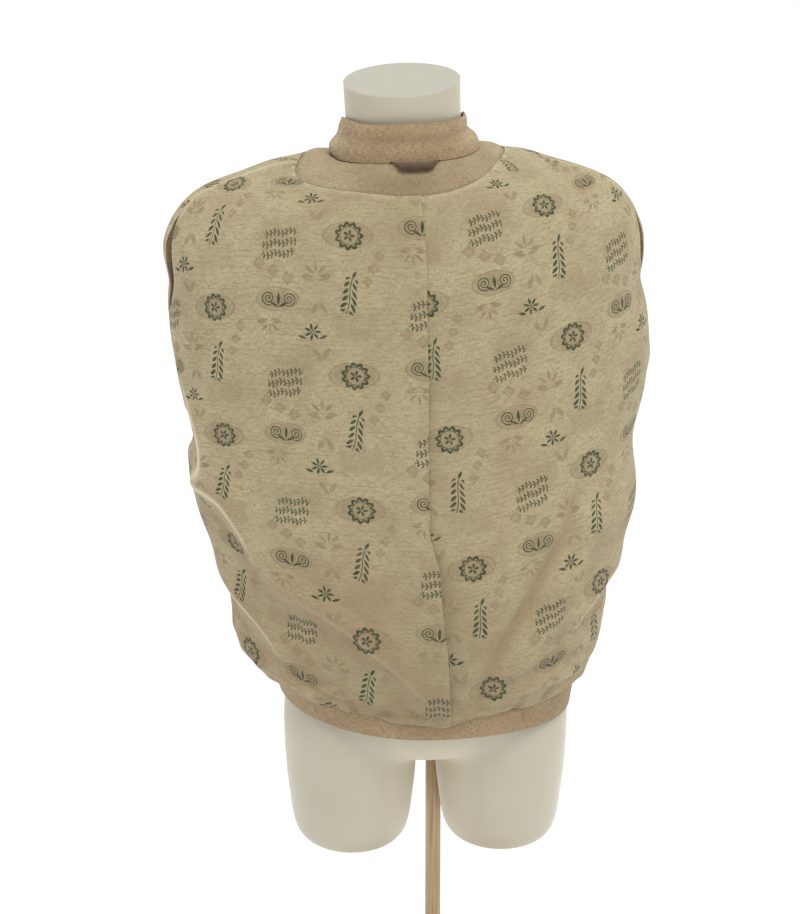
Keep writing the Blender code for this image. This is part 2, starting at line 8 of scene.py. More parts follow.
import logging  # noqa: E402
import math  # noqa: E402
from dataclasses import dataclass, field  # noqa: E402
from enum import Enum  # noqa: E402
from typing import Callable, NamedTuple, Sequence  # noqa: E402

import bmesh  # noqa: E402
import bpy  # noqa: E402
import numpy as np  # noqa: E402
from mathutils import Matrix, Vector  # noqa: E402


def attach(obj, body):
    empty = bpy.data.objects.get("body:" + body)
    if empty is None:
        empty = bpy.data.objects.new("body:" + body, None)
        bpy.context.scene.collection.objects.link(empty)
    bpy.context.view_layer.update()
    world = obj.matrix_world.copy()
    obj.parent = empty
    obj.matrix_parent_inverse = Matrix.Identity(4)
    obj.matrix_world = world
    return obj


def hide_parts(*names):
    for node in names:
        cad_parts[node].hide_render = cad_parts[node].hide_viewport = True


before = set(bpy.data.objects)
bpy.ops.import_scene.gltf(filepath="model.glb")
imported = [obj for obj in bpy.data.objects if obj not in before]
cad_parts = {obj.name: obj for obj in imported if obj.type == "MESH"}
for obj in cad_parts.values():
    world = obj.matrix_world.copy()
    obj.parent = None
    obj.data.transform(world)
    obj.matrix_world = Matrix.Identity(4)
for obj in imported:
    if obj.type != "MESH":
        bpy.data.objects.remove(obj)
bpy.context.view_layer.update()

ROOT = "root"
LOG = logging.getLogger("alpine_jacket")

Array = np.ndarray
Colour = tuple[float, float, float]
Edge = Callable[[Array], Array]
Field = Callable[[Array, Array], Array]


class Slot(Enum):
    """Material slots of the record."""

    LINING = "lining_print"
    PLAIN = "plain_cloth"
    FORM = "form_plastic"
    WOOD = "stand_wood"


class Held(Enum):
    """How a sheet of cloth is held."""

    DRAPED = "draped"
    HUNG = "hung"


class Paint(Enum):
    """Painted light and shade on the cloth's points: highlights, a warm shade, and shade in hollows."""

    # Painted highlight on crests and edges.
    LIGHT = "light"
    # Painted warm shade on fold slopes and low on the lining.
    WARM_SHADE = "warm"
    # Painted shade in hollows and along seams.
    SHADE = "hollow"


# The painted shades and highlight, in the order of the fold tints' shares and colours.
FOLD_PAINTS = (Paint.WARM_SHADE, Paint.SHADE, Paint.LIGHT)


# Sizes shared with the part's form

HIP_X = -0.014
HIP_Z = 0.410
LEAN = -0.037
SHOULDER_TILT = 0.014
NECK_TILT = 0.024
NECK_FOOT = 1.050
NECK_RISE = 0.040
NECK_PITCH = 0.10
LEFT_FRONT = -270.0
LEFT_SIDE = -180.0
RIGHT_SIDE = 0.0
RIGHT_FRONT = 90.0
CENTRE_BACK = -90.0
FACING_WIDTH = 24.0
FRONT_LAP = 6.0
LAP_LIFT = 0.0026
LAP_SLOPE = 4.0

# Metres in a turn and a row, millimetres in a metre, and rows and turns that several pieces share

METRES_A_TURN = 0.0034
METRES_A_ROW = 0.046
MILLIMETRES = 1000.0
FACING_ROW = 1.0
WAIST_ROW = 8.0
SEAM_ROW = 14.0
HEM_ROW = 15.0
BAND_TOP = 13.88
FACING_TUCK = 0.10
UNDER_LAP = 5.0
DARK_TURN = -94.0


class Section(NamedTuple):
    """One row of the body: heights, half widths from the leaning axis, depths, and flatness of its sides."""

    back_z: float
    left_z: float
    right_z: float
    front_z: float
    left: float
    right: float
    back: float
    front: float
    edge: float


SECTIONS = (
    Section(1.061, 1.050, 1.058, 1.034, 0.0790, 0.0805, 0.085, 0.084, 1.00),
    Section(1.033, 1.0505, 1.0535, 1.000, 0.1090, 0.1100, 0.117, 0.111, 1.05),
    Section(1.004, 1.032, 1.036, 0.968, 0.1760, 0.1770, 0.134, 0.125, 1.10),
    Section(0.965, 1.009, 1.010, 0.930, 0.2320, 0.2310, 0.145, 0.134, 1.16),
    Section(0.920, 0.964, 0.964, 0.890, 0.2640, 0.2570, 0.152, 0.140, 1.18),
    Section(0.875, 0.905, 0.905, 0.850, 0.2660, 0.2590, 0.156, 0.143, 1.16),
    Section(0.825, 0.845, 0.845, 0.810, 0.2640, 0.2640, 0.158, 0.145, 1.12),
    Section(0.775, 0.785, 0.785, 0.765, 0.2560, 0.2590, 0.160, 0.146, 1.06),
    Section(0.710, 0.715, 0.715, 0.705, 0.2520, 0.2470, 0.162, 0.146, 1.02),
    Section(0.652, 0.655, 0.655, 0.650, 0.2490, 0.2460, 0.164, 0.146, 1.00),
    Section(0.598, 0.600, 0.600, 0.598, 0.2330, 0.2290, 0.165, 0.145, 1.00),
    Section(0.543, 0.545, 0.545, 0.543, 0.2190, 0.2130, 0.165, 0.143, 1.00),
    Section(0.492, 0.497, 0.488, 0.490, 0.2130, 0.2010, 0.162, 0.139, 0.98),
    Section(0.464, 0.474, 0.463, 0.462, 0.2010, 0.1890, 0.157, 0.133, 0.95),
    Section(0.446, 0.459, 0.446, 0.447, 0.1760, 0.1740, 0.145, 0.122, 0.87),
    Section(0.415, 0.430, 0.407, 0.416, 0.1655, 0.1650, 0.139, 0.118, 0.86),
)


class CollarRing(NamedTuple):
    """One ring of the stand collar: height over the neck seam, and how much narrower than the seam."""

    up: float
    narrower_side: float
    narrower_back: float


COLLAR = (
    CollarRing(-0.0008, 0.0000, 0.0000),
    CollarRing(0.0120, 0.0010, 0.0020),
    CollarRing(0.0250, 0.0075, 0.0075),
    CollarRing(0.0370, 0.0134, 0.0140),
)


class PleatPoint(NamedTuple):
    """One point of the pleat's fold edge."""

    row: float
    turn: float


PLEAT = (
    PleatPoint(1.0, -87.4),
    PleatPoint(5.0, -89.0),
    PleatPoint(8.6, -90.2),
    PleatPoint(9.6, -88.0),
    PleatPoint(11.8, -86.0),
    PleatPoint(14.0, -85.0),
)


class Armhole(NamedTuple):
    """A slit at the shoulder: its side, rows of its ends, and reach to the back and front in degrees."""

    side: float
    top: float
    bottom: float
    back: float
    front: float


LEFT_ARMHOLE = Armhole(LEFT_SIDE, 3.4, 5.6, 15.5, -7.0)
RIGHT_ARMHOLE = Armhole(RIGHT_SIDE, 3.5, 5.2, 13.5, -6.0)
LEFT_SHOULDER = 7.0
RIGHT_SHOULDER = 3.0


class SleeveRing(NamedTuple):
    """One ring of a tucked sleeve: height, rise of its inner side, centre and half sizes."""

    z: float
    rise: float
    out: float
    half: float
    deep: float


SLEEVE = (
    SleeveRing(0.915, 0.050, 0.224, 0.015, 0.026),
    SleeveRing(0.880, 0.030, 0.211, 0.018, 0.042),
    SleeveRing(0.835, 0.012, 0.199, 0.021, 0.054),
    SleeveRing(0.770, 0.004, 0.191, 0.021, 0.058),
    SleeveRing(0.690, 0.002, 0.191, 0.020, 0.058),
    SleeveRing(0.620, 0.000, 0.191, 0.017, 0.056),
    SleeveRing(0.570, 0.000, 0.190, 0.014, 0.052),
    SleeveRing(0.530, 0.000, 0.188, 0.012, 0.048),
)


class FormRing(NamedTuple):
    """One ring of the torso form: height, half width and depths."""

    z: float
    half: float
    back: float
    front: float


FORM = (
    FormRing(1.131, 0.0630, 0.058, 0.053),
    FormRing(1.092, 0.0622, 0.059, 0.054),
    FormRing(1.064, 0.0630, 0.062, 0.055),
    FormRing(1.050, 0.0670, 0.068, 0.057),
    FormRing(1.044, 0.0880, 0.080, 0.061),
    FormRing(1.038, 0.1250, 0.090, 0.069),
    FormRing(1.016, 0.1560, 0.099, 0.083),
    FormRing(0.980, 0.1710, 0.107, 0.098),
    FormRing(0.935, 0.1750, 0.114, 0.111),
    FormRing(0.870, 0.1700, 0.118, 0.117),
    FormRing(0.790, 0.1580, 0.110, 0.112),
    FormRing(0.700, 0.1420, 0.096, 0.100),
    FormRing(0.630, 0.1410, 0.096, 0.097),
    FormRing(0.550, 0.1510, 0.112, 0.099),
    FormRing(0.470, 0.1600, 0.126, 0.101),
    FormRing(0.415, 0.1605, 0.124, 0.098),
    FormRing(0.384, 0.1560, 0.110, 0.090),
    FormRing(0.368, 0.1380, 0.090, 0.076),
    FormRing(0.359, 0.0900, 0.060, 0.052),
    FormRing(0.3565, 0.0300, 0.020, 0.018),
)


class ThighRing(NamedTuple):
    """One ring of a thigh stump: height, distance from the middle and half sizes."""

    z: float
    out: float
    half: float
    deep: float


THIGH = (
    ThighRing(0.470, 0.076, 0.0620, 0.080),
    ThighRing(0.420, 0.084, 0.0765, 0.090),
    ThighRing(0.370, 0.086, 0.0765, 0.090),
    ThighRing(0.330, 0.086, 0.0740, 0.086),
    ThighRing(0.297, 0.086, 0.0705, 0.081),
    ThighRing(0.270, 0.086, 0.0668, 0.077),
    ThighRing(0.254, 0.086, 0.0612, 0.069),
    ThighRing(0.244, 0.086, 0.0490, 0.055),
    ThighRing(0.241, 0.086, 0.0200, 0.024),
)


class Crease(NamedTuple):
    """A fold of the cloth along a line of (turn, row) places, with its sizes in metres.

    Its height is below 0 if it is a hollow, and full at the share peak of the way. It reaches left and right
    of its line. Light is a painted highlight and warm a painted warm shade, from 0 to 1; the highlight
    reaches wide.
    """

    line: tuple[tuple[float, float], ...]
    height: float
    left: float
    right: float
    peak: float = 0.5
    light: float = 0.0
    warm: float = 0.0
    wide: float = 0.0022


LEFT_CREASES = (
    Crease(((-166, 5.0), (-168, 5.8), (-170, 6.4), (-171, 6.9), (-166, 7.4)), 0.0030, 0.016, 0.006, 0.6, 0.3),
    Crease(
        ((-169, 6.5), (-164, 7.1), (-160, 7.5), (-159, 7.8), (-161, 8.1), (-172, 8.4)),
        0.0050, 0.014, 0.005, 0.5, 1.0, 0.0, 0.0034,
    ),
    Crease(((-178, 6.5), (-173, 7.0), (-168, 7.5), (-168, 7.9), (-176, 8.2)), -0.0018, 0.006, 0.006),
    Crease(((-168, 7.45), (-180, 7.6), (-196, 7.7), (-214, 7.8)), -0.0150, 0.009, 0.008, 0.35),
    Crease(((-176, 7.9), (-188, 8.0), (-200, 8.0)), 0.0032, 0.010, 0.010),
    Crease(
        (
            (-184, 8.3), (-179, 8.4), (-164, 8.4), (-152, 8.5), (-146, 8.8),
            (-143, 9.1), (-141, 9.5), (-137, 9.8), (-133, 10.1), (-124, 10.45),
        ),
        0.0082, 0.034, 0.013, 0.45, 0.0, 0.3,
    ),
    Crease(
        ((-179, 8.4), (-164, 8.4), (-152, 8.5), (-146, 8.8), (-143, 9.1), (-141, 9.5), (-139, 9.7)),
        0.0008, 0.003, 0.003, 0.35, 0.9, 0.0, 0.0022,
    ),
    Crease(
        ((-176, 8.8), (-160, 8.85), (-151, 9.15), (-147, 9.6), (-143, 10.0), (-136, 10.4)),
        -0.0008, 0.010, 0.010, 0.5, 0.0, 1.0,
    ),
    Crease(
        ((-139, 9.7), (-128, 10.25), (-114, 10.8), (-108, 11.2), (-100, 11.7), (-96, 12.2), (-91, 12.9)),
        0.0062, 0.030, 0.011, 0.40, 0.15, 1.0,
    ),
    Crease(
        ((-178, 8.9), (-160, 9.0), (-151, 9.5), (-146, 10.1), (-134, 10.8), (-112, 11.6)),
        -0.0035, 0.017, 0.020,
    ),
    Crease(
        ((-178, 10.3), (-167, 10.4), (-158, 10.7), (-150, 11.0), (-145, 11.35), (-141, 11.8)),
        0.0062, 0.018, 0.007, 0.40, 0.8, 0.4, 0.0018,
    ),
    Crease(((-186, 10.9), (-170, 11.1), (-156, 11.5), (-146, 12.1)), -0.0035, 0.012, 0.014, 0.4, 0.0, 0.7),
    Crease(((-138, 12.8), (-131, 12.6), (-121, 12.1), (-112, 11.7), (-103, 11.5)), -0.0024, 0.004, 0.005),
    Crease(((-128, 9.5), (-117, 10.0), (-108, 10.6), (-102, 11.3)), -0.0024, 0.009, 0.008, 0.5, 0.0, 0.9),
    Crease(((-149, 11.6), (-137, 12.2), (-126, 12.9), (-117, 13.5)), -0.0026, 0.008, 0.008, 0.5, 0.0, 0.9),
    Crease(((-166, 12.0), (-154, 12.4), (-141, 12.75), (-128, 13.2)), 0.0040, 0.013, 0.006, 0.45, 0.3),
    Crease(((-118, 12.7), (-119, 13.4), (-120, 14.0)), -0.0062, 0.007, 0.006, 0.7),
    Crease(((-131, 13.1), (-130, 13.6), (-131, 14.1)), -0.0040, 0.005, 0.006, 0.7),
    Crease(((-107, 13.2), (-108, 13.7), (-109, 14.2)), -0.0034, 0.005, 0.006, 0.7),
    Crease(((-98, 12.5), (-99, 13.2), (-98, 14.2)), -0.0048, 0.006, 0.007, 0.6),
    Crease(((-150, 12.9), (-148, 13.5), (-147, 14.0)), -0.0042, 0.006, 0.007, 0.6),
)
RIGHT_CREASES = (
    Crease(
        ((-66, 5.6), (-67, 6.3), (-68, 6.9), (-70, 7.5), (-73, 8.4), (-73, 8.9), (-75, 9.5)),
        0.0022, 0.012, 0.010, 0.5, 0.0, 0.4,
    ),
    Crease(
        ((-46, 8.0), (-52, 8.9), (-57, 9.7), (-62, 10.5), (-68, 11.2), (-73, 12.0), (-74, 12.7), (-76, 13.6)),
        -0.0062, 0.007, 0.010, 0.6, 0.0, 1.0,
    ),
    Crease(((-36, 8.6), (-46, 9.9), (-55, 11.2), (-64, 12.2)), 0.0045, 0.020, 0.014, 0.5, 0.1),
    Crease(
        ((-2, 10.2), (-12, 10.25), (-25, 10.4), (-32, 10.75), (-38, 11.05), (-43, 11.4)),
        0.0060, 0.007, 0.020, 0.5, 0.65, 0.3, 0.0018,
    ),
    Crease(((6, 10.75), (-16, 10.9), (-30, 11.4)), -0.0040, 0.012, 0.010, 0.4),
    Crease(
        ((-24, 12.0), (-34, 11.9), (-46, 11.85), (-58, 12.0), (-67, 12.3), (-75, 13.0)),
        -0.0036, 0.007, 0.006,
    ),
    Crease(((-28, 12.6), (-42, 12.45), (-55, 12.55), (-66, 12.95)), 0.0046, 0.010, 0.012, 0.5, 0.15),
    Crease(((-72, 12.6), (-74, 13.3), (-74, 14.1)), -0.0062, 0.007, 0.007, 0.7),
    Crease(((-60, 13.2), (-59, 13.7), (-60, 14.1)), -0.0036, 0.005, 0.006, 0.7),
    Crease(((-44, 12.7), (-46, 13.4), (-46, 14.0)), -0.0048, 0.007, 0.006, 0.6),
    Crease(((-26, 4.95), (-10, 5.0), (10, 5.05)), -0.0040, 0.010, 0.012),
    Crease(((-30, 7.6), (-12, 7.8), (10, 7.9)), -0.0045, 0.018, 0.020),
    Crease(((-24, 6.4), (-8, 6.5), (12, 6.5)), 0.0030, 0.014, 0.012),
)
SHOULDER_CREASES = (
    Crease(((-150, 0.55), (-180, 0.70), (-210, 0.60)), 0.0022, 0.010, 0.010),
    Crease(((-152, 1.15), (-180, 1.15), (-205, 1.10)), -0.0016, 0.010, 0.010),
    Crease(((-158, 1.6), (-180, 1.55), (-200, 1.6)), 0.0016, 0.012, 0.012),
    Crease(((-172, 1.0), (-173, 1.5), (-173, 2.3), (-172, 3.0), (-168, 3.6)), 0.0012, 0.004, 0.004, 0.5, 0.7),
    Crease(((-200, 4.75), (-168, 4.85)), -0.0035, 0.012, 0.012),
    Crease(((-30, 0.6), (0, 0.75), (30, 0.6)), 0.0010, 0.010, 0.010),
    Crease(((-28, 1.0), (0, 1.02), (26, 1.05)), -0.0024, 0.009, 0.009),
    Crease(((-26, 1.35), (0, 1.35), (24, 1.35)), 0.0014, 0.011, 0.011),
    Crease(((-24, 1.85), (0, 1.80), (22, 1.85)), -0.0016, 0.012, 0.012),
    Crease(((-4, 1.0), (-4, 1.9), (-5, 2.6), (-10, 3.2), (-14, 3.8)), 0.0010, 0.004, 0.004, 0.6, 0.3),
)
FRONT_CREASES = (
    Crease(((150, 8.4), (130, 10.2), (112, 12.2)), 0.0065, 0.024, 0.012, 0.4, 0.5, 0.4),
    Crease(((170, 10.2), (155, 11.0), (140, 12.0)), -0.0050, 0.018, 0.018),
    Crease(((22, 8.6), (44, 10.3), (64, 12.4)), 0.0065, 0.024, 0.012, 0.4, 0.5, 0.4),
    Crease(((12, 10.8), (28, 11.2), (42, 12.2)), -0.0050, 0.018, 0.018),
    Crease(((166, 7.2), (146, 8.6), (128, 9.2)), 0.0030, 0.014, 0.014, 0.5, 0.0, 0.4),
    Crease(((20, 6.4), (36, 7.6), (50, 8.0)), 0.0030, 0.014, 0.014, 0.5, 0.0, 0.4),
    Crease(((118, 12.8), (116, 13.4), (116, 14.0)), -0.0040, 0.008, 0.008, 0.7),
    Crease(((38, 12.8), (40, 13.4), (41, 14.0)), -0.0040, 0.008, 0.008, 0.7),
)
CREASES = LEFT_CREASES + RIGHT_CREASES + SHOULDER_CREASES + FRONT_CREASES


def eased(value: Array) -> Array:
    """Ease from 0 to 1.

    Args:
        value: Numbers, where 0 to 1 is the whole way.

    Returns:
        The eased numbers, from 0 to 1.
    """
    value = np.clip(value, 0.0, 1.0)
    return value * value * (3.0 - 2.0 * value)


def ramp(value: Array, start: float, length: float) -> Array:
    """Ease from 0 at a start to 1.

    Args:
        value: Numbers.
        start: Where the ramp starts.
        length: How far it goes on.

    Returns:
        The eased numbers, from 0 to 1.
    """
    return eased((value - start) / length)


def hump(value: Array, middle: float, reach: float) -> Array:
    """A bell that is 1 at a middle.

    Args:
        value: Numbers.
        middle: Where the bell is highest.
        reach: Its half width.

    Returns:
        The bell's heights.
    """
    return np.exp(-(((value - middle) / reach) ** 2))


def along_table(rows: Sequence[NamedTuple], places: Array) -> Array:
    """Catmull-Rom values of a table of rows.

    Args:
        rows: The table.
        places: Fractional row numbers.

    Returns:
        The table's columns at each place, on the last axis.
    """
    table = np.array(rows, float)
    last = len(table) - 1
    places = np.clip(np.asarray(places, float), 0.0, last)
    first = np.minimum(places.astype(int), last - 1)
    t = (places - first)[..., None]
    before, start, end, after = (table[np.clip(first + k, 0, last)] for k in (-1, 0, 1, 2))
    bend = 2.0 * before - 5.0 * start + 4.0 * end - after
    twist = 3.0 * start - before - 3.0 * end + after
    return start + 0.5 * ((end - before) * t + bend * t**2 + twist * t**3)


def axis_x(z: Array) -> Array:
    """The leaning middle of form and jacket.

    Args:
        z: Heights.

    Returns:
        The middle's x at each height.
    """
    return HIP_X + LEAN * (z - HIP_Z)


def drift(u: Array, v: Array, cell: float, seed: int) -> Array:
    """Smooth random swells over a sheet.

    Args:
        u: First coordinate in metres.
        v: Second coordinate in metres.
        cell: Distance between swells.
        seed: Which swells.

    Returns:
        Heights from -1 to 1.
    """
    size = 64
    lattice = np.random.default_rng(seed).uniform(-1.0, 1.0, (size, size))
    x, y = u / cell, v / cell
    i, j = np.floor(x).astype(int), np.floor(y).astype(int)
    across, down = eased(x - i), eased(y - j)
    top = lattice[i % size, j % size] * (1 - across) + lattice[(i + 1) % size, j % size] * across
    low = lattice[i % size, (j + 1) % size] * (1 - across) + lattice[(i + 1) % size, (j + 1) % size] * across
    return top * (1 - down) + low * down


class Ripple(NamedTuple):
    """Smooth random swells: their height, the distance between them, and which ones."""

    height: float
    cell: float
    seed: int

    def over(self, u: Array, v: Array) -> Array:
        """The swells' heights at flat coordinates in metres."""
        return self.height * drift(u, v, self.cell, self.seed)


def blurred(grid: Array, cells: float) -> Array:
    """A grid of numbers, blurred.

    Args:
        grid: The numbers.
        cells: Reach of the blur in grid steps.

    Returns:
        The blurred numbers.
    """
    reach = int(3 * cells)
    weights = np.exp(-0.5 * (np.arange(-reach, reach + 1) / cells) ** 2)
    weights /= weights.sum()
    wide = np.pad(grid, reach, mode="edge")
    for axis in (0, 1):
        wide = np.apply_along_axis(np.convolve, axis, wide, weights, "valid")
    return wide


def walked(points: Array, axis: int) -> Array:
    """Lengths along the lines of a grid of points.

    Args:
        points: The grid.
        axis: 0 down its columns, 1 along its rows.

    Returns:
        The length from each line's start.
    """
    steps = np.linalg.norm(np.diff(points, axis=axis), axis=-1)
    return np.concatenate([np.zeros_like(steps.take([0], axis)), np.cumsum(steps, axis=axis)], axis=axis)


def pleat_turn(rows: Array) -> Array:
    """Where the pleat's fold edge lies.

    Args:
        rows: Rows of the body.

    Returns:
        Its turn on each row.
    """
    turns = np.full(np.shape(rows), PLEAT[0].turn)
    for start, end in zip(PLEAT, PLEAT[1:]):
        turns = turns + (end.turn - start.turn) * ramp(rows, start.row, end.row - start.row)
    return turns


def slit(armhole: Armhole, rows: Array) -> Array:
    """How wide open an armhole is.

    Args:
        armhole: The armhole.
        rows: Rows of the body.

    Returns:
        From 0, closed, to 1 on each row.
    """
    middle, half = (armhole.top + armhole.bottom) / 2.0, (armhole.bottom - armhole.top) / 2.0
    return np.cos(np.pi / 2.0 * np.clip((rows - middle) / half, -1.0, 1.0))


def level(value: float) -> Edge:
    """An edge that stays at one turn or row.

    Args:
        value: The turn or row.

    Returns:
        The edge.
    """
    return lambda places: np.full(np.shape(places), value)


def armhole_edge(armhole: Armhole, reach: float, shoulder: float) -> Edge:
    """One edge of an armhole, which runs into the shoulder seam above and the side seam below.

    Args:
        armhole: The armhole.
        reach: Degrees from the side to the edge where the armhole is widest.
        shoulder: Degrees from the side to the shoulder seam.

    Returns:
        The edge, as turns on rows.
    """

    def edge(rows: Array) -> Array:
        """The armhole's edge.

        Args:
            rows: Rows of the body.

        Returns:
            Its turn on each row.
        """
        opened = slit(armhole, rows)
        seam = shoulder * (1.0 - ramp(rows, armhole.top, armhole.bottom - armhole.top))
        return armhole.side + reach * opened + seam * (1.0 - opened)

    return edge


left_back_edge = armhole_edge(LEFT_ARMHOLE, LEFT_ARMHOLE.back, LEFT_SHOULDER)
left_front_edge = armhole_edge(LEFT_ARMHOLE, -LEFT_ARMHOLE.front, LEFT_SHOULDER)
right_back_edge = armhole_edge(RIGHT_ARMHOLE, -RIGHT_ARMHOLE.back, -RIGHT_SHOULDER)
right_front_edge = armhole_edge(RIGHT_ARMHOLE, RIGHT_ARMHOLE.front, -RIGHT_SHOULDER)


def under_pleat_edge(rows: Array) -> Array:
    """The right back's edge under the pleat's lap, as turns on rows."""
    return pleat_turn(rows) - UNDER_LAP


class Swell(NamedTuple):
    """A soft rise along an edge: its middle and half width in degrees, and its height in rows."""

    middle: float
    reach: float
    height: float


FACING_SWELLS = (Swell(-148.0, 24.0, 0.42), Swell(-25.0, 18.0, -0.08))
HEM_SAG = Swell(-93.0, 18.0, 0.34)
HEM_PUCKERS = (Ripple(0.05, 0.045, 31), Ripple(0.05, 0.016, 35))


def facing_seam(turns: Array) -> Array:
    """The lining's upper edge, as rows on turns."""
    return FACING_ROW + sum(swell.height * hump(turns, swell.middle, swell.reach) for swell in FACING_SWELLS)


def hem_seam(turns: Array) -> Array:
    """The lining's lower edge, as rows on turns: it bags over the band at the centre back.

    Args:
        turns: Turns of the body.

    Returns:
        Its row on each turn.
    """
    sag = HEM_SAG.height * np.exp(-(np.abs((turns - HEM_SAG.middle) / HEM_SAG.reach) ** 3))
    along = turns * METRES_A_TURN
    return SEAM_ROW + sag + sum(pucker.over(along, 0.0 * along) for pucker in HEM_PUCKERS)


def facing_edge(turns: Array) -> Array:
    """The neck facing's lower edge, tucked under the lining, as rows on turns."""
    return facing_seam(turns) + FACING_TUCK


def rolled(distance: Array, reach: float, depth: float) -> Array:
    """How far a rolled edge sinks in.

    Args:
        distance: Distances from the edge.
        reach: Where the roll starts.
        depth: How far the edge itself sinks.

    Returns:
        Heights, at most 0.
    """
    inside = np.clip(1.0 - distance / reach, 0.0, 1.0)
    return -depth * (1.0 - np.sqrt(1.0 - inside**2))


@dataclass(frozen=True)
class PleatFold:
    """The ease pleat at the centre back, where the left back laps over the right one.

    Lengths are in metres, and painted shadows from 0 to 1. The pleat is almost closed at the neck and the hem.
    """

    lap: float = 0.0017
    lap_when_open: float = 0.0009
    lap_flat: float = 0.017
    lap_slope: float = 0.016
    crest: float = 0.0048
    crest_reach: float = 0.014
    roll: float = 0.0024
    roll_reach: float = 0.0045
    sink: float = 0.0036
    sink_reach: float = 0.015
    shadow_reach: float = 0.009
    shadow_widens: float = 0.011
    upper_shadow: float = 0.58
    lower_shadow: float = 0.37

    @staticmethod
    def closing(rows: Array) -> Array:
        """How far the pleat has closed again above the hem, from 0 to 1."""
        return ramp(rows, 12.4, 1.7)

    def strength(self, rows: Array) -> Array:
        """How far the pleat stands open on rows: a little above the waist, most below it."""
        start = 0.05 + 0.20 * ramp(rows, 2.0, 3.0) + 0.75 * ramp(rows, 8.9, 0.9)
        return start * (1.0 - 0.92 * self.closing(rows))

    def over(self, rows: Array, turns: Array) -> Array:
        """The left back lies over the right one, and rolls out towards the fold edge.

        Args:
            rows: Rows of the body.
            turns: Turns of the body.

        Returns:
            Heights over the body.
        """
        away = (pleat_turn(rows) - turns) * METRES_A_TURN
        strength = self.strength(rows)
        lap = (self.lap + self.lap_when_open * strength) * (1.0 - ramp(away, self.lap_flat, self.lap_slope))
        crest = self.crest * hump(away, 0.0, self.crest_reach)
        return lap + strength * (crest + rolled(away, self.roll_reach, self.roll))

    def under(self, rows: Array, turns: Array) -> Array:
        """The right back sinks in beside the fold edge."""
        away = (turns - pleat_turn(rows)) * METRES_A_TURN
        return -self.sink * self.strength(rows) * hump(np.maximum(away, 0.0), 0.0, self.sink_reach)

    def shadow(self, rows: Array, turns: Array) -> Array:
        """Painted shadow in the hollow beside the fold edge, which widens downwards.

        Args:
            rows: Rows of the body.
            turns: Turns of the body.

        Returns:
            Shadow from 0 to 1.
        """
        away = (turns - pleat_turn(rows)) * METRES_A_TURN
        wide = self.shadow_reach + self.shadow_widens * ramp(rows, 9.2, 1.2)
        deep = self.upper_shadow * ramp(rows, 3.5, 2.5) + self.lower_shadow * ramp(rows, 9.0, 0.8)
        return deep * (1.0 - 0.7 * self.closing(rows)) * hump(np.maximum(away, 0.0), 0.0, wide)


PLEAT_FOLD = PleatFold()


def back_shade(rows: Array, turns: Array) -> Array:
    """Painted shade on the lining: at the middle of the back, under the neck facing, and where it turns in
    below the waist.

    Args:
        rows: Rows of the body.
        turns: Turns of the body.

    Returns:
        Painted shade from 0 up.
    """
    low = 0.80 * ramp(rows, WAIST_ROW, 4.0)
    top = 0.34 * hump(rows, 1.7, 0.9)
    return 0.32 * hump(turns, DARK_TURN, 34.0) + (top + low) * hump(turns, DARK_TURN, 60.0)


def no_warm_shade(rows: Array, turns: Array) -> Array:
    """Cloth without a painted warm shade of its own."""
    return 0.0 * rows


# Patches of the painted warm shade low on the lining.
WARM_SHADE_PATCHES = (Ripple(0.8, 0.034, 37), Ripple(0.5, 0.015, 39))


def low_warm_shade(rows: Array, turns: Array) -> Array:
    """Painted warm shade on the lining below the waist, in patches, most of all on the left.

    Args:
        rows: Rows of the body.
        turns: Turns of the body.

    Returns:
        Painted warm shade from 0 to 1.
    """
    u, v = turns * METRES_A_TURN, rows * METRES_A_ROW
    patches = 0.5 + sum(patch.over(u, v) for patch in WARM_SHADE_PATCHES)
    strength = (0.40 + 0.50 * eased((-85.0 - turns) / 20.0)) * ramp(rows, WAIST_ROW, 3.5)
    return strength * np.clip(patches, 0.0, 1.0)


HEM_SWELL = 0.0040
HEM_LIFT = 0.0030
HEM_UNEVEN = Ripple(0.0016, 0.05, 33)


def hem_bag(rows: Array, turns: Array) -> Array:
    """The lining swells over the hem band."""
    swell = HEM_SWELL + HEM_UNEVEN.over(turns * METRES_A_TURN, 0.0 * rows)
    return swell * hump(rows - hem_seam(turns), -0.35, 0.40) + HEM_LIFT * ramp(rows, 13.75, 0.25)


def facing_tuck(rows: Array, turns: Array) -> Array:
    """The neck facing sinks under the lining's edge."""
    return -0.0017 * ramp(rows - facing_seam(turns), -0.14, 0.14)


def facing_shadow(rows: Array, turns: Array) -> Array:
    """Painted shadow along the neck facing's lower seam, and a soft painted shade below the hanger loop."""
    seam = 0.22 * ramp(rows - facing_seam(turns), -0.08, 0.08)
    return np.maximum(seam, 0.85 * hump(rows, 0.70, 0.26) * hump(turns, DARK_TURN, 22.0))


def band_tuck(rows: Array, turns: Array) -> Array:
    """The hem band sinks under the lining's edge."""
    return -0.0026 * eased((14.12 - rows) / 0.2)


def band_shadow(rows: Array, turns: Array) -> Array:
    """Painted shadow along the hem band's seam."""
    return 0.8 * eased((hem_seam(turns) + 0.16 - rows) / 0.16)


def front_over(rows: Array, turns: Array) -> Array:
    """The right front lies over the left one at the centre front."""
    return LAP_LIFT * ramp(turns, RIGHT_FRONT - FRONT_LAP - LAP_SLOPE, LAP_SLOPE)


LEFT_CLIMB = 0.55
LEFT_CLIMB_FROM = 0.05
RIGHT_SLOPE = 8.0
RIGHT_SHIFT = 0.052
FRONTS_SHIFT = (0.045, 0.035)


def lay_straight(flat: Array, rows: Array) -> Array:
    """Cloth that lies straight on the body."""
    return flat


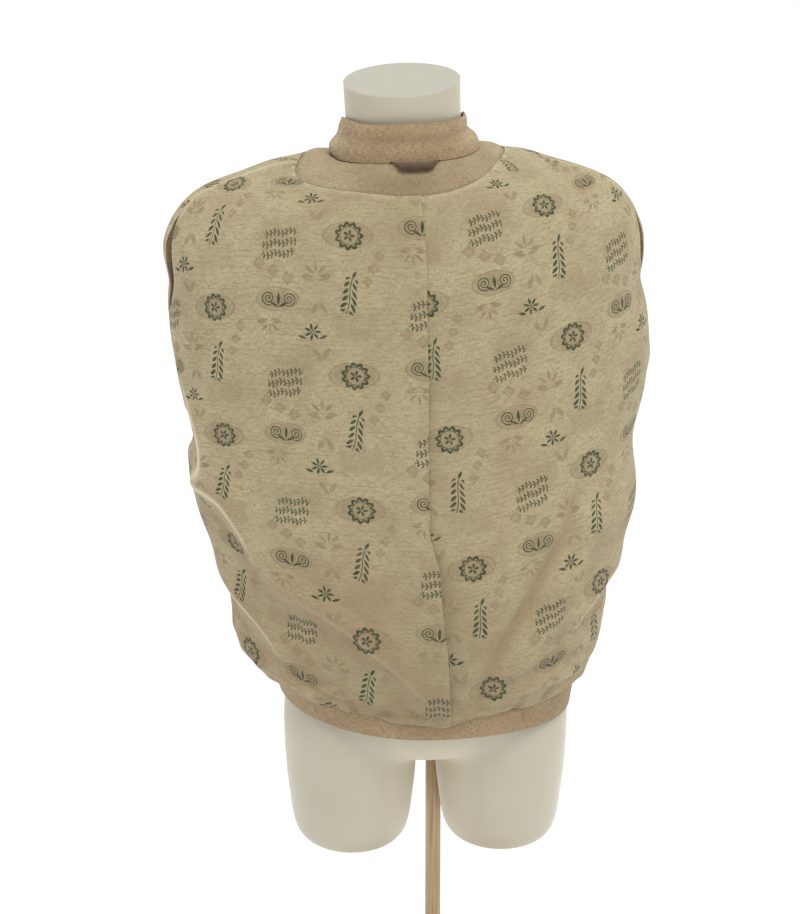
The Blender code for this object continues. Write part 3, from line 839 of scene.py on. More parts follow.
def lay_left(flat: Array, rows: Array) -> Array:
    """The left back's cloth: at the side it climbs to the shoulder above the waist and sags below.

    Args:
        flat: Flat coordinates in metres, on the last axis.
        rows: Rows of the body.

    Returns:
        The places on the print.
    """
    u, v = np.moveaxis(flat, -1, 0)
    side = np.maximum(-u - LEFT_CLIMB_FROM, 0.0)
    climb = LEFT_CLIMB * side**2 * (1.0 - 2.0 * ramp(rows, 6.0, 5.0))
    return np.stack([u, v - climb], -1)


def lay_right(flat: Array, rows: Array) -> Array:
    """The right back's cloth, which climbs to the right.

    Args:
        flat: Flat coordinates in metres, on the last axis.
        rows: Rows of the body.

    Returns:
        The places on the print.
    """
    u, v = np.moveaxis(flat, -1, 0)
    slope = math.radians(RIGHT_SLOPE)
    across, down = math.cos(slope), math.sin(slope)
    return np.stack([u * across - v * down + RIGHT_SHIFT, v * across + u * down], -1)


def lay_fronts(flat: Array, rows: Array) -> Array:
    """The fronts' cloth, cut from another place of the print."""
    return flat + np.array(FRONTS_SHIFT)


class Relief(NamedTuple):
    """Height of the creases, with the painted highlight and painted warm shade along them."""

    height: Array
    # Painted highlight along crests, and painted warm shade beside folds.
    light: Array
    warm: Array


class BodySurface:
    """The jacket's body as one surface, with its creases and the flat lie of its cloth."""

    ROW_STEP = 0.1
    TURN_STEP = 1.0
    FIRST_TURN = -285.0
    LAST_TURN = 105.0
    ROW_REACH = 0.03
    TURN_REACH = 1.5
    # Reach of the painted warm shade beside a fold.
    WARM_SHADE_REACH = 0.0090
    CREASE_ROOM = 3.5
    CREST = 0.002
    SWELLS = Ripple(0.0016, 0.075, 3)
    WRINKLES = Ripple(0.0006, 0.028, 5)
    CRUMPLES = Ripple(0.0014, 0.026, 7)

    def __init__(self) -> None:
        """Measure the cloth's lengths over the whole body."""
        rows = np.arange(0.0, HEM_ROW + 1e-6, self.ROW_STEP)
        turns = np.arange(self.FIRST_TURN, self.LAST_TURN + 1e-6, self.TURN_STEP)
        grid_rows, grid_turns = np.meshgrid(rows, turns, indexing="ij")
        points = self.smooth(grid_rows, grid_turns)
        self.flat_u, self.flat_v = self._unroll(points, rows, turns)

    @staticmethod
    def _unroll(points: Array, rows: Array, turns: Array) -> tuple[Array, Array]:
        """Lengths along the cloth.

        Args:
            points: Grid of surface points.
            rows: The grid's rows.
            turns: The grid's turns.

        Returns:
            Length round the body from the centre back, and length down from the waist.
        """
        round_step = np.hypot(*np.moveaxis(np.diff(points[..., :2], axis=1), -1, 0))
        u = np.concatenate([np.zeros((len(rows), 1)), np.cumsum(round_step, axis=1)], axis=1)
        centre = int(np.argmin(np.abs(turns - CENTRE_BACK)))
        u = u - u[:, centre : centre + 1]
        tangent = np.gradient(points[..., :2], axis=1)
        tangent /= np.linalg.norm(tangent, axis=-1, keepdims=True) + 1e-12
        down = np.diff(points, axis=0)
        mid = (tangent[1:] + tangent[:-1]) / 2.0
        inward = down[..., 0] * mid[..., 1] - down[..., 1] * mid[..., 0]
        step = np.hypot(down[..., 2], inward)
        v = np.concatenate([np.zeros((1, len(turns))), np.cumsum(step, axis=0)], axis=0)
        return u, v - v[int(np.argmin(np.abs(rows - WAIST_ROW)))]

    def _look_up(self, table: Array, rows: Array, turns: Array) -> Array:
        """Bilinear values of a row and turn table.

        Args:
            table: The table.
            rows: Rows of the body.
            turns: Turns of the body.

        Returns:
            The table's values at each place.
        """
        r = np.clip(rows / self.ROW_STEP, 0.0, table.shape[0] - 1.001)
        t = np.clip((turns - self.FIRST_TURN) / self.TURN_STEP, 0.0, table.shape[1] - 1.001)
        i, j = r.astype(int), t.astype(int)
        down, across = r - i, t - j
        top = table[i, j] * (1 - across) + table[i, j + 1] * across
        low = table[i + 1, j] * (1 - across) + table[i + 1, j + 1] * across
        return top * (1 - down) + low * down

    def flat(self, rows: Array, turns: Array, centre: float = CENTRE_BACK) -> Array:
        """Where places lie on the flat cloth.

        Args:
            rows: Rows of the body.
            turns: Turns of the body.
            centre: Turn from which lengths round the body are measured.

        Returns:
            (u, v) in metres on the last axis.
        """
        start = self._look_up(self.flat_u, rows, np.full(np.shape(rows), centre))
        u = self._look_up(self.flat_u, rows, turns) - start
        return np.stack([u, self._look_up(self.flat_v, rows, turns)], -1)

    @staticmethod
    def smooth(rows: Array, turns: Array) -> Array:
        """Points of the body before its creases.

        Args:
            rows: Rows of the body.
            turns: Turns of the body.

        Returns:
            Points on the last axis.
        """
        table = along_table(SECTIONS, rows)
        back_z, left_z, right_z, front_z, left, right, back, front, edge = np.moveaxis(table, -1, 0)
        across, along = np.cos(np.radians(turns)), np.sin(np.radians(turns))
        half = np.where(across >= 0.0, right, left)
        side_z = np.where(across >= 0.0, right_z, left_z)
        deep = np.where(along >= 0.0, front, back)
        middle_z = np.where(along >= 0.0, front_z, back_z)
        z = side_z * across**2 + middle_z * along**2
        y = np.sign(along) * deep * np.abs(along) ** edge
        return np.stack([axis_x(z) + half * across, y, z], -1)

    def outward(self, rows: Array, turns: Array) -> Array:
        """Outward normals of the body.

        Args:
            rows: Rows of the body.
            turns: Turns of the body.

        Returns:
            Unit normals on the last axis.
        """
        low, high = np.maximum(rows - self.ROW_REACH, 0.0), np.minimum(rows + self.ROW_REACH, HEM_ROW)
        down = self.smooth(high, turns) - self.smooth(low, turns)
        round_body = self.smooth(rows, turns + self.TURN_REACH) - self.smooth(rows, turns - self.TURN_REACH)
        normal = np.cross(down, round_body)
        return normal / (np.linalg.norm(normal, axis=-1, keepdims=True) + 1e-12)

    @staticmethod
    def _nearest(line: Array, place: Array) -> tuple[Array, Array, Array]:
        """Find each place's nearest point on a line.

        Args:
            line: Points of the line.
            place: The places.

        Returns:
            The distance, the side of the line (left below 0), and the share of the way along it.
        """
        lengths = np.linalg.norm(np.diff(line, axis=0), axis=1)
        best = np.full(len(place), np.inf)
        hand, share = np.zeros(len(place)), np.zeros(len(place))
        done = 0.0
        for start, end, length in zip(line, line[1:], lengths):
            way = (end - start) / length
            along = np.clip((place - start) @ way, 0.0, length)
            off = place - start - along[:, None] * way
            far = np.linalg.norm(off, axis=1)
            nearer = far < best
            best = np.where(nearer, far, best)
            hand = np.where(nearer, way[0] * off[:, 1] - way[1] * off[:, 0], hand)
            share = np.where(nearer, (done + along) / lengths.sum(), share)
            done += length
        return best, hand, share

    def _add_crease(self, crease: Crease, place: Array, relief: Relief) -> None:
        """Add one crease to a relief, with its painted highlight and painted warm shade.

        Args:
            crease: The crease.
            place: Turns and rows of the relief, on the last axis.
            relief: What it is added to.
        """
        scale = np.array([METRES_A_TURN, METRES_A_ROW])
        line = along_table(crease.line, np.linspace(0.0, len(crease.line) - 1.0, 4 * len(crease.line)))
        middle = line[:, 0].mean()
        turns = (place[..., 0] - middle + 180.0) % 360.0 - 180.0 + middle
        place = np.stack([turns, place[..., 1]], -1) * scale
        line = line * scale
        room = self.CREASE_ROOM * max(crease.left, crease.right, self.WARM_SHADE_REACH * 0.7)
        near = np.all((place > line.min(axis=0) - room) & (place < line.max(axis=0) + room), axis=-1)
        best, hand, share = self._nearest(line, place[near])
        late = 0.5 + 0.5 * (share - crease.peak) / (1.0 - crease.peak)
        fade = np.abs(np.sin(np.pi * np.where(share < crease.peak, 0.5 * share / crease.peak, late))) ** 0.7
        soft = np.sqrt(best**2 + self.CREST**2) - self.CREST
        reach = np.where(hand < 0.0, crease.left, crease.right)
        # Painted highlight along the crest, and painted warm shade beside the fold.
        light = crease.light * fade * hump(best, 0.0, crease.wide)
        warm = crease.warm * fade * hump(best, 0.0, self.WARM_SHADE_REACH)
        relief.height[near] += crease.height * fade * np.exp(-((soft / reach) ** 1.5))
        relief.light[near] = np.maximum(relief.light[near], light)
        relief.warm[near] = np.maximum(relief.warm[near], warm)

    def relief(self, rows: Array, turns: Array) -> Relief:
        """Height of all creases and swells, with their painted highlights and painted warm shade.

        Args:
            rows: Rows of the body.
            turns: Turns of the body.

        Returns:
            The relief at each place.
        """
        relief = Relief(*(np.zeros(np.shape(rows)) for _ in Relief._fields))
        place = np.stack([turns + 0.0 * rows, rows + 0.0 * turns], -1)
        for crease in CREASES:
            self._add_crease(crease, place, relief)
        u, v = turns * METRES_A_TURN, rows * METRES_A_ROW
        slack = ramp(rows, FACING_ROW, 6.0) * (1.0 - ramp(rows, 13.4, 0.8))
        relief.height[...] += slack * self.SWELLS.over(u, v)
        relief.height[...] += (0.35 + 0.65 * slack) * self.WRINKLES.over(u, v * 1.3)
        crumple = ramp(rows, WAIST_ROW, 4.0) * (1.0 - ramp(rows, 13.6, 0.5))
        relief.height[...] += crumple * self.CRUMPLES.over(u * 0.8 + v, v - u * 0.5)
        return relief


# Node helpers


class Tone:
    """A number that varies over a surface: a node socket, on which arithmetic adds math nodes."""

    def __init__(self, tree: bpy.types.NodeTree, socket: bpy.types.NodeSocket) -> None:
        """Keep a socket.

        Args:
            tree: The material's nodes.
            socket: The number's socket.
        """
        self.tree = tree
        self.socket = socket

    def math(self, operation: str, *others: "Tone | float", clamp: bool = False) -> "Tone":
        """Add a math node.

        Args:
            operation: The node's operation.
            others: Its second and third inputs.
            clamp: Whether the result stays within 0 to 1.

        Returns:
            The node's result.
        """
        node = self.tree.nodes.new("ShaderNodeMath")
        node.operation = operation
        node.use_clamp = clamp
        for index, value in enumerate((self, *others)):
            if isinstance(value, Tone):
                self.tree.links.new(value.socket, node.inputs[index])
            else:
                node.inputs[index].default_value = value
        return Tone(self.tree, node.outputs[0])

    def __add__(self, other: "Tone | float") -> "Tone":
        """The sum of two tones."""
        return self.math("ADD", other)

    def __sub__(self, other: "Tone | float") -> "Tone":
        """The difference of two tones."""
        return self.math("SUBTRACT", other)

    def __mul__(self, other: "Tone | float") -> "Tone":
        """The product of two tones."""
        return self.math("MULTIPLY", other)

    def __truediv__(self, other: "Tone | float") -> "Tone":
        """The quotient of two tones."""
        return self.math("DIVIDE", other)

    def __abs__(self) -> "Tone":
        """This tone without its sign."""
        return self.math("ABSOLUTE")

    def scaled(self, factor: "Tone | float", plus: "Tone | float") -> "Tone":
        """This tone times a factor, plus a number."""
        return self.math("MULTIPLY_ADD", factor, plus)

    def stretched(self, factor: float, plus: float) -> "Tone":
        """This tone times a factor, plus a number, kept within 0 to 1."""
        return self.math("MULTIPLY_ADD", factor, plus, clamp=True)

    def either(self, other: "Tone") -> "Tone":
        """The larger of two tones."""
        return self.math("MAXIMUM", other)

    def both(self, other: "Tone") -> "Tone":
        """The smaller of two tones."""
        return self.math("MINIMUM", other)

    def filled(self, soft: float) -> "Tone":
        """A mask that is 1 where this distance is inside, above 0, with a soft edge."""
        return self.stretched(0.5 / soft, 0.5)

    def stroke(self, thick: float, soft: float = 0.3) -> "Tone":
        """A mask of a line where this distance is near 0."""
        return (abs(self) * -1.0 + thick).filled(soft)


class Paintbox:
    """One material's node tree, with short ways to add nodes."""

    def __init__(self, name: str) -> None:
        """Make a new material.

        Args:
            name: The material's name.
        """
        self.material = bpy.data.materials.new(name)
        self.material.use_nodes = True
        self.tree = self.material.node_tree
        self.shader = self.tree.nodes["Principled BSDF"]

    def flat_cloth(self) -> tuple[Tone, Tone]:
        """The cloth's own flat coordinates, in millimetres.

        Returns:
            Across and down the cloth.
        """
        node = self.tree.nodes.new("ShaderNodeUVMap")
        node.uv_map = "flat"
        split = self.tree.nodes.new("ShaderNodeSeparateXYZ")
        self.tree.links.new(node.outputs[0], split.inputs[0])
        u, v = (Tone(self.tree, output) * MILLIMETRES for output in split.outputs[:2])
        return u, v

    def object_place(self) -> tuple[Tone, Tone, Tone]:
        """Object coordinates, in millimetres.

        Returns:
            The three coordinates.
        """
        node = self.tree.nodes.new("ShaderNodeTexCoord")
        split = self.tree.nodes.new("ShaderNodeSeparateXYZ")
        self.tree.links.new(node.outputs["Object"], split.inputs[0])
        x, y, z = (Tone(self.tree, output) * MILLIMETRES for output in split.outputs)
        return x, y, z

    def painted(self, paint: Paint) -> Tone:
        """A number painted on the mesh's points.

        Args:
            paint: Which number.

        Returns:
            The number.
        """
        node = self.tree.nodes.new("ShaderNodeAttribute")
        node.attribute_name = paint.value
        return Tone(self.tree, node.outputs["Fac"])

    def noise(self, place: Sequence["Tone | float"], scale: float, detail: float, rough: float = 0.5) -> Tone:
        """A noise texture.

        Args:
            place: Coordinates.
            scale: Swells in a unit of the coordinates.
            detail: Octaves.
            rough: Weight of the finer octaves.

        Returns:
            Noise from 0 to 1.
        """
        join = self.tree.nodes.new("ShaderNodeCombineXYZ")
        for index, value in enumerate(place):
            if isinstance(value, Tone):
                self.tree.links.new(value.socket, join.inputs[index])
            else:
                join.inputs[index].default_value = value
        node = self.tree.nodes.new("ShaderNodeTexNoise")
        node.inputs["Scale"].default_value = scale
        node.inputs["Detail"].default_value = detail
        node.inputs["Roughness"].default_value = rough
        self.tree.links.new(join.outputs[0], node.inputs["Vector"])
        return Tone(self.tree, node.outputs["Fac"])

    def blend(
        self, share: Tone, first: "Colour | bpy.types.NodeSocket", second: Colour
    ) -> bpy.types.NodeSocket:
        """Mix two colours.

        Args:
            share: How much of the second.
            first: First colour or socket.
            second: Second colour.

        Returns:
            The mixed colour's socket.
        """
        node = self.tree.nodes.new("ShaderNodeMix")
        node.data_type = "RGBA"
        self.tree.links.new(share.socket, node.inputs["Factor"])
        start, end = node.inputs[6], node.inputs[7]
        if isinstance(first, bpy.types.NodeSocket):
            self.tree.links.new(first, start)
        else:
            start.default_value = (*first, 1.0)
        end.default_value = (*second, 1.0)
        return node.outputs[2]

    def folds(
        self, colour: bpy.types.NodeSocket, tints: "FoldLightAndShade", paints: tuple[Paint, ...] = FOLD_PAINTS
    ) -> bpy.types.NodeSocket:
        """Paint light and shade into the cloth's colour along its folds.

        Args:
            colour: The cloth's colour.
            tints: The painted shades and highlight.
            paints: Which of them to use here.

        Returns:
            The tinted colour.
        """
        for paint, share, tint in zip(FOLD_PAINTS, tints.shares, tints.colours):
            if paint in paints:
                colour = self.blend(self.painted(paint) * share, colour, tint)
        return colour

    def raise_by(self, height: Tone, distance: float, strength: float) -> None:
        """Bump the surface.

        Args:
            height: Height from 0 to 1.
            distance: Metres from 0 to 1.
            strength: How much of it shows.
        """
        node = self.tree.nodes.new("ShaderNodeBump")
        node.inputs["Distance"].default_value = distance
        node.inputs["Strength"].default_value = strength
        self.tree.links.new(height.socket, node.inputs["Height"])
        self.tree.links.new(node.outputs[0], self.shader.inputs["Normal"])

    def finish(self, colour: bpy.types.NodeSocket, **constants: float) -> bpy.types.Material:
        """Join the colour and set the shader's constants.

        Args:
            colour: The base colour's socket.
            constants: Shader inputs by name, with _ for a space.

        Returns:
            The material.
        """
        self.tree.links.new(colour, self.shader.inputs["Base Color"])
        for name, value in constants.items():
            self.shader.inputs[name.replace("_", " ")].default_value = value
        return self.material


def turned(x: Tone, y: Tone, degrees: float) -> tuple[Tone, Tone]:
    """Coordinates turned about their origin.

    Args:
        x: Across.
        y: Down.
        degrees: The turn.

    Returns:
        The turned coordinates.
    """
    c, s = math.cos(math.radians(degrees)), math.sin(math.radians(degrees))
    return x.scaled(c, y * s), y.scaled(c, x * -s)


def petal(x: Tone, y: Tone, long: float, wide: float, soft: float = 0.3) -> Tone:
    """A pointed leaf along y, around the origin.

    Args:
        x: Across.
        y: Along.
        long: Half length in millimetres.
        wide: Half width in millimetres.
        soft: Edge softness.

    Returns:
        Its mask.
    """
    share = y / long
    return ((share * share).scaled(-wide, wide) - abs(x)).filled(soft)


def polar(x: Tone, y: Tone) -> tuple[Tone, Tone]:
    """Distance from the origin and angle, of coordinates."""
    return (x * x + y * y).math("SQRT"), y.math("ARCTAN2", x)


def fan(radius: Tone, angle: Tone, count: int) -> tuple[Tone, Tone]:
    """Coordinates folded to one of several mirrored spokes.

    Args:
        radius: Distance from the centre.
        angle: Angle about it.
        count: Spokes.

    Returns:
        Across and along the spoke.
    """
    folded = angle.math("PINGPONG", math.pi / count)
    return radius * folded.math("SINE"), radius * folded.math("COSINE")


# Dark green motifs: masks of coordinates from each motif's middle, in millimetres


def garland(x: Tone, y: Tone) -> Tone:
    """Three wavy vines with small leaves, one under another, about 34 by 26 mm.

    Args:
        x: Across.
        y: Down.

    Returns:
        The mask.
    """
    lane = y.math("WRAP", 4.6, -4.6)
    bent = lane - (x * 0.42).math("SINE") * 1.1
    vine = bent.stroke(0.42)
    step = x.math("WRAP", 1.9, -1.9)
    side, along = turned(step, abs(bent) - 1.9, 32.0)
    leaves = petal(side, along, 1.9, 0.75)
    inside = (abs(x + y * 0.25) * -1.0 + 16.0).both(abs(y) * -1.0 + 13.5).filled(0.4)
    return vine.either(leaves).both(inside)


def wreath(x: Tone, y: Tone) -> Tone:
    """A ring of leaves round a small flower, about 30 mm wide.

    Args:
        x: Across.
        y: Down.

    Returns:
        The mask.
    """
    radius, angle = polar(x, y)
    across, along = fan(radius, angle, 11)
    side, out = turned(across - 1.2, along - 11.6, 34.0)
    leaves = petal(side, out, 3.6, 1.25)
    petal_across, petal_along = fan(radius, angle, 5)
    flower = petal(petal_across, petal_along - 3.4, 2.8, 1.3)
    return leaves.either((radius - 8.8).stroke(0.4)).either(flower)


def scroll(x: Tone, y: Tone) -> Tone:
    """Two mirrored curls with a drop between them, about 36 by 16 mm.

    Args:
        x: Across.
        y: Down.

    Returns:
        The mask.
    """
    mirrored = abs(x)
    radius, angle = polar(mirrored - 10.0, y)
    coil = (radius / 2.9 - angle / (2.0 * math.pi)).math("WRAP", 0.5, -0.5)
    curl = (coil * 2.9).stroke(0.55).both((radius * -1.0 + 7.0).filled(0.4))
    side, along = turned(mirrored - 4.6, y - 5.4, 62.0)
    return curl.either(petal(x, y, 6.2, 1.5)).either(petal(side, along, 5.0, 1.2))


def sprig(x: Tone, y: Tone) -> Tone:
    """A bent stem with paired leaves, about 22 by 40 mm.

    Args:
        x: Across.
        y: Down.

    Returns:
        The mask.
    """
    bent = x - (y * 0.11).math("SINE") * 2.6
    stem = bent.stroke(0.45).both((abs(y) * -1.0 + 18.0).filled(0.5))
    size = y.scaled(-0.009, 1.0)
    step = (y + 2.0).math("WRAP", 3.2, -3.2)
    side, along = turned((abs(bent) * size) - 4.2, step * size, 52.0)
    leaves = petal(along, side, 4.3, 1.45).both((abs(y - 1.0) * -1.0 + 16.0).filled(0.5))
    return stem.either(leaves).either(petal(bent, y + 19.0, 4.0, 1.5))


def star_flower(x: Tone, y: Tone) -> Tone:
    """A star-shaped flower with two leaves, about 26 by 16 mm.

    Args:
        x: Across.
        y: Down.

    Returns:
        The mask.
    """
    radius, angle = polar(x, y)
    across, along = fan(radius, angle, 7)
    star = petal(across, along - 4.8, 3.4, 1.2)
    side, out = turned(abs(x) - 9.6, y - 4.6, 70.0)
    return star.either((radius - 1.1).stroke(0.4)).either(petal(side, out, 4.2, 1.3))


# Tone-on-tone ornaments


def block(x: Tone, y: Tone) -> Tone:
    """A soft hatched rectangle.

    Args:
        x: Across.
        y: Down.

    Returns:
        The mask.
    """
    ragged = (x * 0.35).math("SINE") * 2.0
    inside = (abs(x + ragged) * -1.0 + 30.0).both(abs(y + ragged) * -1.0 + 19.0).filled(4.0)
    lines = ((x * 0.5 + y) / 2.7).math("WRAP", 0.5, -0.5) * 2.7
    return inside * lines.stroke(0.6, 0.5).scaled(0.42, 0.18)


def diamonds(x: Tone, y: Tone) -> Tone:
    """Three latticed diamonds on a stair.

    Args:
        x: Across.
        y: Down.

    Returns:
        The mask.
    """
    across = x.math("WRAP", 8.0, -8.0)
    far = abs(across) + abs(y - ((x + 8.0) / 16.0).math("FLOOR") * 8.0)
    rim = (far - 6.4).stroke(0.9, 0.4)
    lattice = far.math("WRAP", 1.2, -1.2).stroke(0.7, 0.4).both((far * -1.0 + 5.6).filled(0.4))
    return rim.either(lattice).both((abs(x) * -1.0 + 23.5).filled(0.6))


def palmette(x: Tone, y: Tone) -> Tone:
    """A fan of petals over a pair of curled leaves.

    Args:
        x: Across.
        y: Down.

    Returns:
        The mask.
    """
    radius, angle = polar(y * -1.0 + 6.0, x)
    across, along = fan(radius, angle, 8)
    petals = petal(across, along - 10.0, 6.5, 1.9, 0.5).both((y * -1.0 + 8.0).filled(1.0))
    side, out = turned(abs(x) - 9.0, y - 9.0, 74.0)
    return petals.either(petal(side, out, 8.0, 2.0, 0.5))


def medallion(x: Tone, y: Tone) -> Tone:
    """A soft oval with a rim."""
    far = ((x / 19.0) * (x / 19.0) + (y / 10.0) * (y / 10.0)).math("SQRT")
    return ((far * -9.0 + 9.0).filled(1.2) * 0.7).either(((far - 1.1) * 9.0).stroke(0.6, 0.5))


def leaf_pair(x: Tone, y: Tone) -> Tone:
    """Two leaves in a V."""
    side, out = turned(abs(x) - 4.6, y, -32.0)
    return petal(side, out, 8.5, 2.6, 0.5) * side.stroke(0.35).scaled(-0.6, 1.0)


class Placed(NamedTuple):
    """One motif in a repeat: its drawing, its middle in the cell, its turn and its size."""

    drawing: Callable[[Tone, Tone], Tone]
    x: float
    y: float
    degrees: float
    size: float = 1.0


@dataclass(frozen=True)
class Repeat:
    """A half-drop repeat of motifs, in millimetres."""

    wide: float
    high: float
    start_x: float
    start_y: float
    motifs: tuple[Placed, ...]

    def mask(self, u: Tone, v: Tone) -> Tone:
        """Mask of all its motifs.

        Args:
            u: Across the cloth.
            v: Down the cloth.

        Returns:
            The mask.
        """
        column = ((u + self.start_x) / self.wide).math("FLOOR")
        x = (u + self.start_x) - (column + 0.5) * self.wide
        drop = column.math("FLOORED_MODULO", 2.0) * (self.high / 2.0)
        y = (v + self.start_y + drop).math("WRAP", self.high / 2.0, -self.high / 2.0)
        found = None
        for motif in self.motifs:
            across, down = turned(x - motif.x, y - motif.y, motif.degrees)
            drawn = motif.drawing(across / motif.size, down / motif.size)
            found = drawn if found is None else found.either(drawn)
        return found


GREEN_MOTIFS = Repeat(
    wide=158.0,
    high=150.0,
    start_x=30.0,
    start_y=18.0,
    motifs=(
        Placed(garland, -42.0, -36.0, -4.0, 1.22),
        Placed(wreath, 36.0, -44.0, 0.0, 1.12),
        Placed(sprig, 34.0, 18.0, 22.0, 1.15),
        Placed(scroll, -44.0, 22.0, 4.0, 1.15),
        Placed(star_flower, -8.0, 58.0, 0.0, 1.2),
    ),
)
ORNAMENTS = Repeat(
    wide=158.0,
    high=150.0,
    start_x=30.0,
    start_y=18.0,
    motifs=(
        Placed(block, -34.0, -48.0, 0.0, 0.85),
        Placed(medallion, 36.0, -43.0, 0.0, 1.25),
        Placed(diamonds, -48.0, -6.0, 0.0),
        Placed(palmette, 0.0, -6.0, 0.0),
        Placed(block, 40.0, 52.0, 0.0, 0.75),
        Placed(diamonds, 62.0, -8.0, 90.0, 0.85),
        Placed(leaf_pair, 2.0, -66.0, 180.0),
        Placed(palmette, -54.0, 54.0, 180.0, 0.85),
        Placed(leaf_pair, 2.0, 34.0, 0.0),
        Placed(medallion, -44.0, 24.0, 0.0, 1.1),
    ),
)


@dataclass(frozen=True)
class FoldLightAndShade:
    """Painted light and shade along folds: a warm shade on slopes, a shade in hollows and a highlight on
    crests.
    """

    shares: tuple[float, float, float]
    colours: tuple[Colour, Colour, Colour]


@dataclass(frozen=True)
class LiningPrint:
    """Printed beige lining: tone-on-tone ornaments and blotches under dark green leaf motifs, and painted
    shading.
    """

    ground: Colour = (0.495, 0.432, 0.262)
    warm: Colour = (0.430, 0.350, 0.212)
    shade: Colour = (0.270, 0.200, 0.113)
    ink: Colour = (0.037, 0.051, 0.019)
    # Painted warm shade, painted shade and painted highlight along the folds.
    tints: FoldLightAndShade = FoldLightAndShade(
        (0.84, 0.45, 0.80), ((0.415, 0.264, 0.158), (0.240, 0.190, 0.105), (0.82, 0.72, 0.52))
    )

    def make(self) -> bpy.types.Material:
        """The material.

        Returns:
            The material.
        """
        box = Paintbox("lining_print")
        u, v = box.flat_cloth()
        blotches = box.noise((u, v, 0.0), scale=0.020, detail=4.0, rough=0.6).stretched(4.0, -1.65)
        colour = box.blend(blotches, self.ground, self.warm)
        # Painted warm shade on fold slopes and low down, and painted shade in hollows.
        colour = box.folds(colour, self.tints, (Paint.WARM_SHADE, Paint.SHADE))
        ragged = box.noise((u, v, 6.0), scale=0.22, detail=2.0)
        worn = box.noise((u, v, 2.0), scale=0.16, detail=3.0).stretched(2.2, -0.35)
        drawn = ORNAMENTS.mask(u + ragged * 3.0, v + ragged * 3.0) * worn.scaled(0.6, 0.4)
        under = drawn.either(self._waves(box, u, v))
        colour = box.blend(under, colour, self.shade)
        weft = box.noise((u * 0.12, v * 1.1, 0.0), scale=1.0, detail=2.0)
        thread = weft.scaled(1.0, box.noise((u * 1.2, v * 0.16, 9.0), scale=1.0, detail=2.0))
        colour = box.blend(thread.stretched(2.0, -1.75), colour, self.shade)
        slub = box.noise((u * 0.035, v * 0.30, 1.0), scale=1.0, detail=3.0, rough=0.6)
        colour = box.blend(slub.stretched(2.4, -1.27), colour, self.shade)
        # Painted highlights on crests and edges.
        colour = box.folds(colour, self.tints, (Paint.LIGHT,))
        colour = box.blend(GREEN_MOTIFS.mask(u, v) * worn.scaled(0.30, 0.70), colour, self.ink)
        box.raise_by(slub.scaled(2.0, thread * 0.7), distance=0.0010, strength=0.40)
        return box.finish(colour, Roughness=0.9, Sheen_Weight=0.08, Sheen_Roughness=0.5)

    @staticmethod
    def _waves(box: Paintbox, u: Tone, v: Tone) -> Tone:
        """Mask of thin broken waves and fine stipple.

        Args:
            box: The material's nodes.
            u: Across the cloth.
            v: Down the cloth.

        Returns:
            The mask.
        """
        wave = v + (u * 0.55).math("SINE") * 0.6 + box.noise((u, v, 3.0), scale=0.06, detail=3.0) * 6.0
        line = ((wave / 5.6).math("WRAP", 0.5, -0.5) * 5.6).stroke(0.42, 0.35)
        broken = box.noise((u, v * 1.6, 8.0), scale=0.07, detail=2.0).stretched(9.0, -4.2)
        stipple = box.noise((u, v, 5.0), scale=0.75, detail=1.0).stretched(5.0, -2.5)
        patches = box.noise((u, v, 12.0), scale=0.03, detail=1.0).stretched(9.0, -4.4)
        return (line * broken * 0.75).either(stipple * patches * 0.45)


@dataclass(frozen=True)
class PlainCloth:
    """Plain tan cloth with slubs along the weave, painted light towards its ends and painted shading on its
    folds.
    """

    name: str = "plain_cloth"
    ground: Colour = (0.374, 0.264, 0.148)
    streak: Colour = (0.245, 0.166, 0.090)
    pale: Colour = (0.46, 0.35, 0.21)
    # Painted light: a paler colour towards both ends, away from the centre back.
    ends: Colour | None = None
    # Painted warm shade, painted shade and painted highlight along the folds.
    tints: FoldLightAndShade = FoldLightAndShade(
        (0.4, 0.55, 0.6), ((0.38, 0.26, 0.165), (0.165, 0.112, 0.060), (0.60, 0.50, 0.34))
    )

    def make(self) -> bpy.types.Material:
        """The material.

        Returns:
            The material.
        """
        box = Paintbox(self.name)
        u, v = box.flat_cloth()
        weft = box.noise((u * 0.16, v * 0.75, 0.0), scale=1.0, detail=3.0, rough=0.6)
        warp = box.noise((u * 0.75, v * 0.16, 4.0), scale=1.0, detail=3.0, rough=0.6)
        cloud = box.noise((u, v, 7.0), scale=0.025, detail=3.0)
        shade = (weft + warp).scaled(1.3, cloud * 0.6)
        mottled = box.noise((u, v, 11.0), scale=0.05, detail=3.0).stretched(3.6, -1.7) * 0.7
        colour = box.blend(mottled, self.ground, self.pale)
        # Painted light towards both ends of the cloth.
        if self.ends:
            colour = box.blend(abs(u).stretched(1.0 / 70.0, -0.6) * 0.7, colour, self.ends)
        colour = box.blend(shade.stretched(2.4, -3.53), colour, self.streak)
        box.raise_by(weft + warp, distance=0.0010, strength=0.50)
        # Painted shade and highlights along the folds.
        colour = box.folds(colour, self.tints)
        return box.finish(colour, Roughness=0.9, Sheen_Weight=0.08, Sheen_Roughness=0.5)


